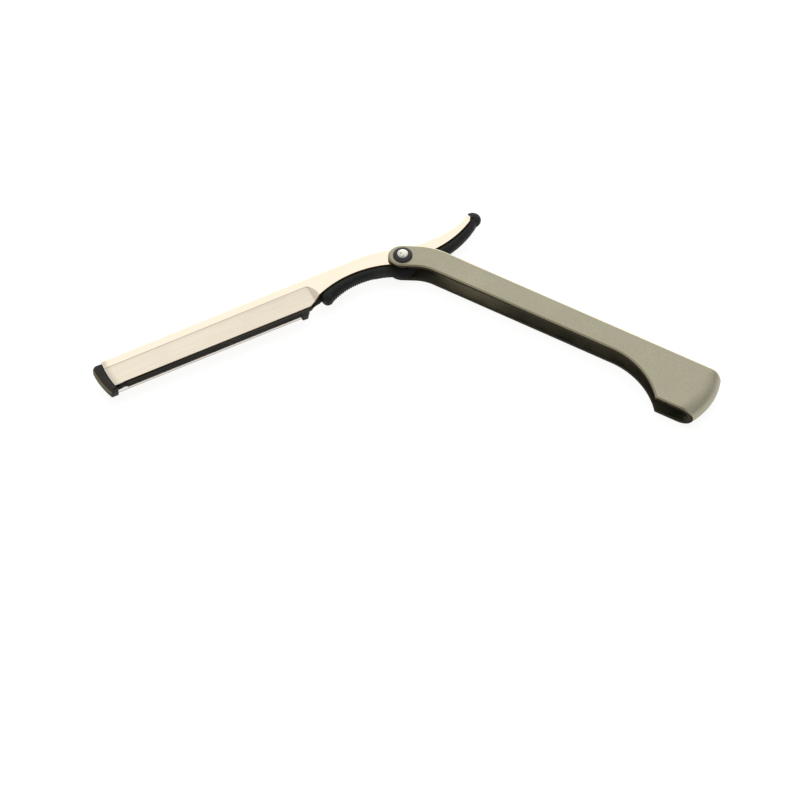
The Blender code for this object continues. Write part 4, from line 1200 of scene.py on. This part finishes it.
def flat_solid(name, points, half, rounding=None):
    """A flat outline made solid from -half to half. rounding gives each rim edge's radius."""

    def draw(grown):
        low = [grown.verts.new((x, y, -half)) for x, y in points]
        high = [grown.verts.new((x, y, half)) for x, y in points]
        grown.faces.new(list(reversed(low)))
        grown.faces.new(high)
        for i in range(len(points)):
            after = (i + 1) % len(points)
            grown.faces.new((low[i], low[after], high[after], high[i]))
        bmesh.ops.recalc_face_normals(grown, faces=grown.faces)
        if rounding:
            weights = grown.edges.layers.float.new("bevel_weight_edge")
            for edge in grown.edges:
                first, second = (corner.co for corner in edge.verts)
                if abs(first.z - second.z) < WELD:
                    edge[weights] = rounding((first + second) / 2) / CAP_ROUNDING

    made = place(name, draw, ARM_TURN)
    if rounding:
        rims = made.modifiers.new("rounded_rims", "BEVEL")
        rims.width = CAP_ROUNDING
        rims.segments = CAP_ROUNDING_STEPS
        rims.limit_method = "WEIGHT"
        fixed(made)
    return made


def slider_rounding(middle):
    """The radius of a rim edge: large round the cap's outer end, small elsewhere."""
    at_end = middle.x > cap_outer_x(middle.y) - CAP_END_DEPTH
    at_top = middle.y < SPINE_Y + CAP_TOP_DROP + CAP_CORNER
    at_cap = middle.x > COVER_END + CORE_GAP + CAP_SHOULDER
    return CAP_ROUNDING if at_cap and (at_end or at_top) else GUARD_ROUNDING


def rectangle(start, end, back, front):
    """The corners of a rectangle along the arm."""
    return [(start, back), (end, back), (end, front), (start, front)]


def stud_pair(name, radius, half):
    """Two upright round solids, at the places of the slider's studs."""
    turn = [2 * math.pi * i / STUD_STEPS for i in range(STUD_STEPS)]
    pair = []
    for x in (BLADE_START + STUD_INSET, BLADE_END - STUD_INSET):
        points = [(x + radius * math.cos(angle), STUD_Y + radius * math.sin(angle)) for angle in turn]
        pair.append(flat_solid(name, points, half))
    return pair


carrier = flat_solid("slider_moulding", guard_outline(), GUARD_HALF, slider_rounding)
strip_foot = share_between(COVER_EDGE_Y + CORE_GAP, GUARD_Y - NOTCH_DEPTH, FOOT_SHARE)
strip_end = cap_inner_x(STRIP_BACK_Y) + CAP_WIDTH / 2
strip_points = [
    (STRIP_START + BEAD_WIDTH, STRIP_BACK_Y),
    (strip_end, STRIP_BACK_Y),
    (strip_end, strip_foot),
    (SHANK_LENGTH, strip_foot),
    (STRIP_START, COVER_EDGE_Y),
    (STRIP_START, STRIP_BACK_Y + BEAD_WIDTH),
]
bead_points = rectangle(
    STRIP_START + 2 * BEAD_WIDTH,
    strip_end - BEAD_SETBACK,
    STRIP_BACK_Y - BEAD_SETBACK,
    STRIP_BACK_Y + BEAD_WIDTH,
)
slot_points = rectangle(
    BLADE_START - SLOT_GAP, BLADE_END + SLOT_GAP, BLADE_BACK_Y - SLOT_GAP, BLADE_EDGE_Y + SLOT_OVERRUN
)
slot_half = BLADE_THICKNESS / 2 + SLOT_GAP
strip = flat_solid("strip", strip_points, STRIP_HALF)
join_solids(carrier, [strip, flat_solid("bead", bead_points, BEAD_HALF)])
join_solids(carrier, [flat_solid("slot", slot_points, slot_half)], "DIFFERENCE")
join_solids(carrier, stud_pair("stud", STUD_RADIUS, (slot_half + STRIP_HALF) / 2))

slider_black, shader, plan = finish_of("slider_black", 0.46, 0.0, specular=0.27)
grain, cloud = patterns(speckle, plan, 6000.0)
_, coarse = patterns(drawn_lines, plan, 2500.0)
scratches, smudges = patterns(marks, plan, 0.5)
tone = mixed(times(coarse, 0.25), shaded(grain, slider_colour, 0.85, 1.25), slider_streak_colour)
# Painted highlight on the cap's outer end, where it faces outward and upward.
outward, _, upward = facing_of(shader)
painted_light = times(ramp(outward, 0.20, 0.50), ramp(upward, 0.10, 0.35))
painted_light = times(painted_light, ramp(axes(plan)["X"], *CAP_HIGHLIGHT_X, 0.0, 0.85))
tone = mixed(scratches, mixed(painted_light, tone, cap_highlight_colour), slider_scratch_colour)
rough = calculate("SUBTRACT", between(0.40, 0.52, cloud), times(smudges, 0.3))
dress(shader, tone, rough, grain, strength=0.3)
coat(carrier, slider_black)
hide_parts("blade_slider")
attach(carrier, "slider")

# Blade: a plain strip of hard steel, 62 mm long, ground to one edge in a wide bevel and a fine
# honed one. Two round holes drop over the slider's studs. The grinding lines run across it.
BLADE_GRIND = 0.0009
BLADE_HONE = 0.00032
BLADE_STEP = 0.002
HONE_HALF = 0.00004
EDGE_HALF = 0.000008
HOLE_RADIUS = 0.0012
HOLE_HALF = 0.0005
BLADE_SHARP_ANGLE = math.radians(5)
GROUND = 0.6
HONED = 1.0
GRINDING_LINES = (9000, 250, 250)

blade_colour = (0.93, 0.915, 0.89)
ground_colour = (0.80, 0.765, 0.73)
honed_colour = (0.38, 0.32, 0.28)


def grow_blade(grown):
    """An eight-sided section, lofted along the blade, with flat ends."""
    half = BLADE_THICKNESS / 2
    side = [(BLADE_BACK_Y, half), (BLADE_EDGE_Y - BLADE_GRIND, half)]
    side += [(BLADE_EDGE_Y - BLADE_HONE, HONE_HALF), (BLADE_EDGE_Y, EDGE_HALF)]
    ring = side + [(y, -z) for y, z in reversed(side)]
    ground = grown.verts.layers.float.new("ground")
    places = stations(BLADE_START, BLADE_END, BLADE_STEP)
    grid = loft(grown, [[(x, y, z) for y, z in ring] for x in places])
    for low, high in zip(grid, grid[1:]):
        grown.faces.new((low[-1], high[-1], high[0], low[0]))
    grown.faces.new(list(reversed(grid[0])))
    grown.faces.new(grid[-1])
    for vertex in grown.verts:
        if vertex.co.y > BLADE_EDGE_Y - BLADE_HONE / 2:
            vertex[ground] = HONED
        elif vertex.co.y > BLADE_EDGE_Y - BLADE_HONE * 1.5:
            vertex[ground] = GROUND
    bmesh.ops.recalc_face_normals(grown, faces=grown.faces)


edge_blade = place("edge_blade", grow_blade, ARM_TURN)
holes = stud_pair("hole", HOLE_RADIUS, HOLE_HALF)
join_solids(edge_blade, holes, "DIFFERENCE", BLADE_SHARP_ANGLE)

ground_steel, shader, plan = finish_of("ground_blade_steel", 0.18, 1.0)
ground = mask_of(shader, "ground")
fine, _ = patterns(drawn_lines, plan, 7000.0)
grinding = noise(stretched(plan, GRINDING_LINES))
ground_tone = shaded(grinding, ground_colour, 0.9)
tone = mixed(ramp(ground, 0.02, 0.3), shaded(fine, blade_colour, 0.96), ground_tone)
tone = mixed(ramp(ground, 0.6, 0.9), tone, honed_colour)
dress(shader, tone, ramp(grinding, *NOISE_RANGE, 0.14, 0.26), grinding, strength=0.12, depth=POLISH_DEPTH)
coat(edge_blade, ground_steel)
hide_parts("blade")
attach(edge_blade, "slider")
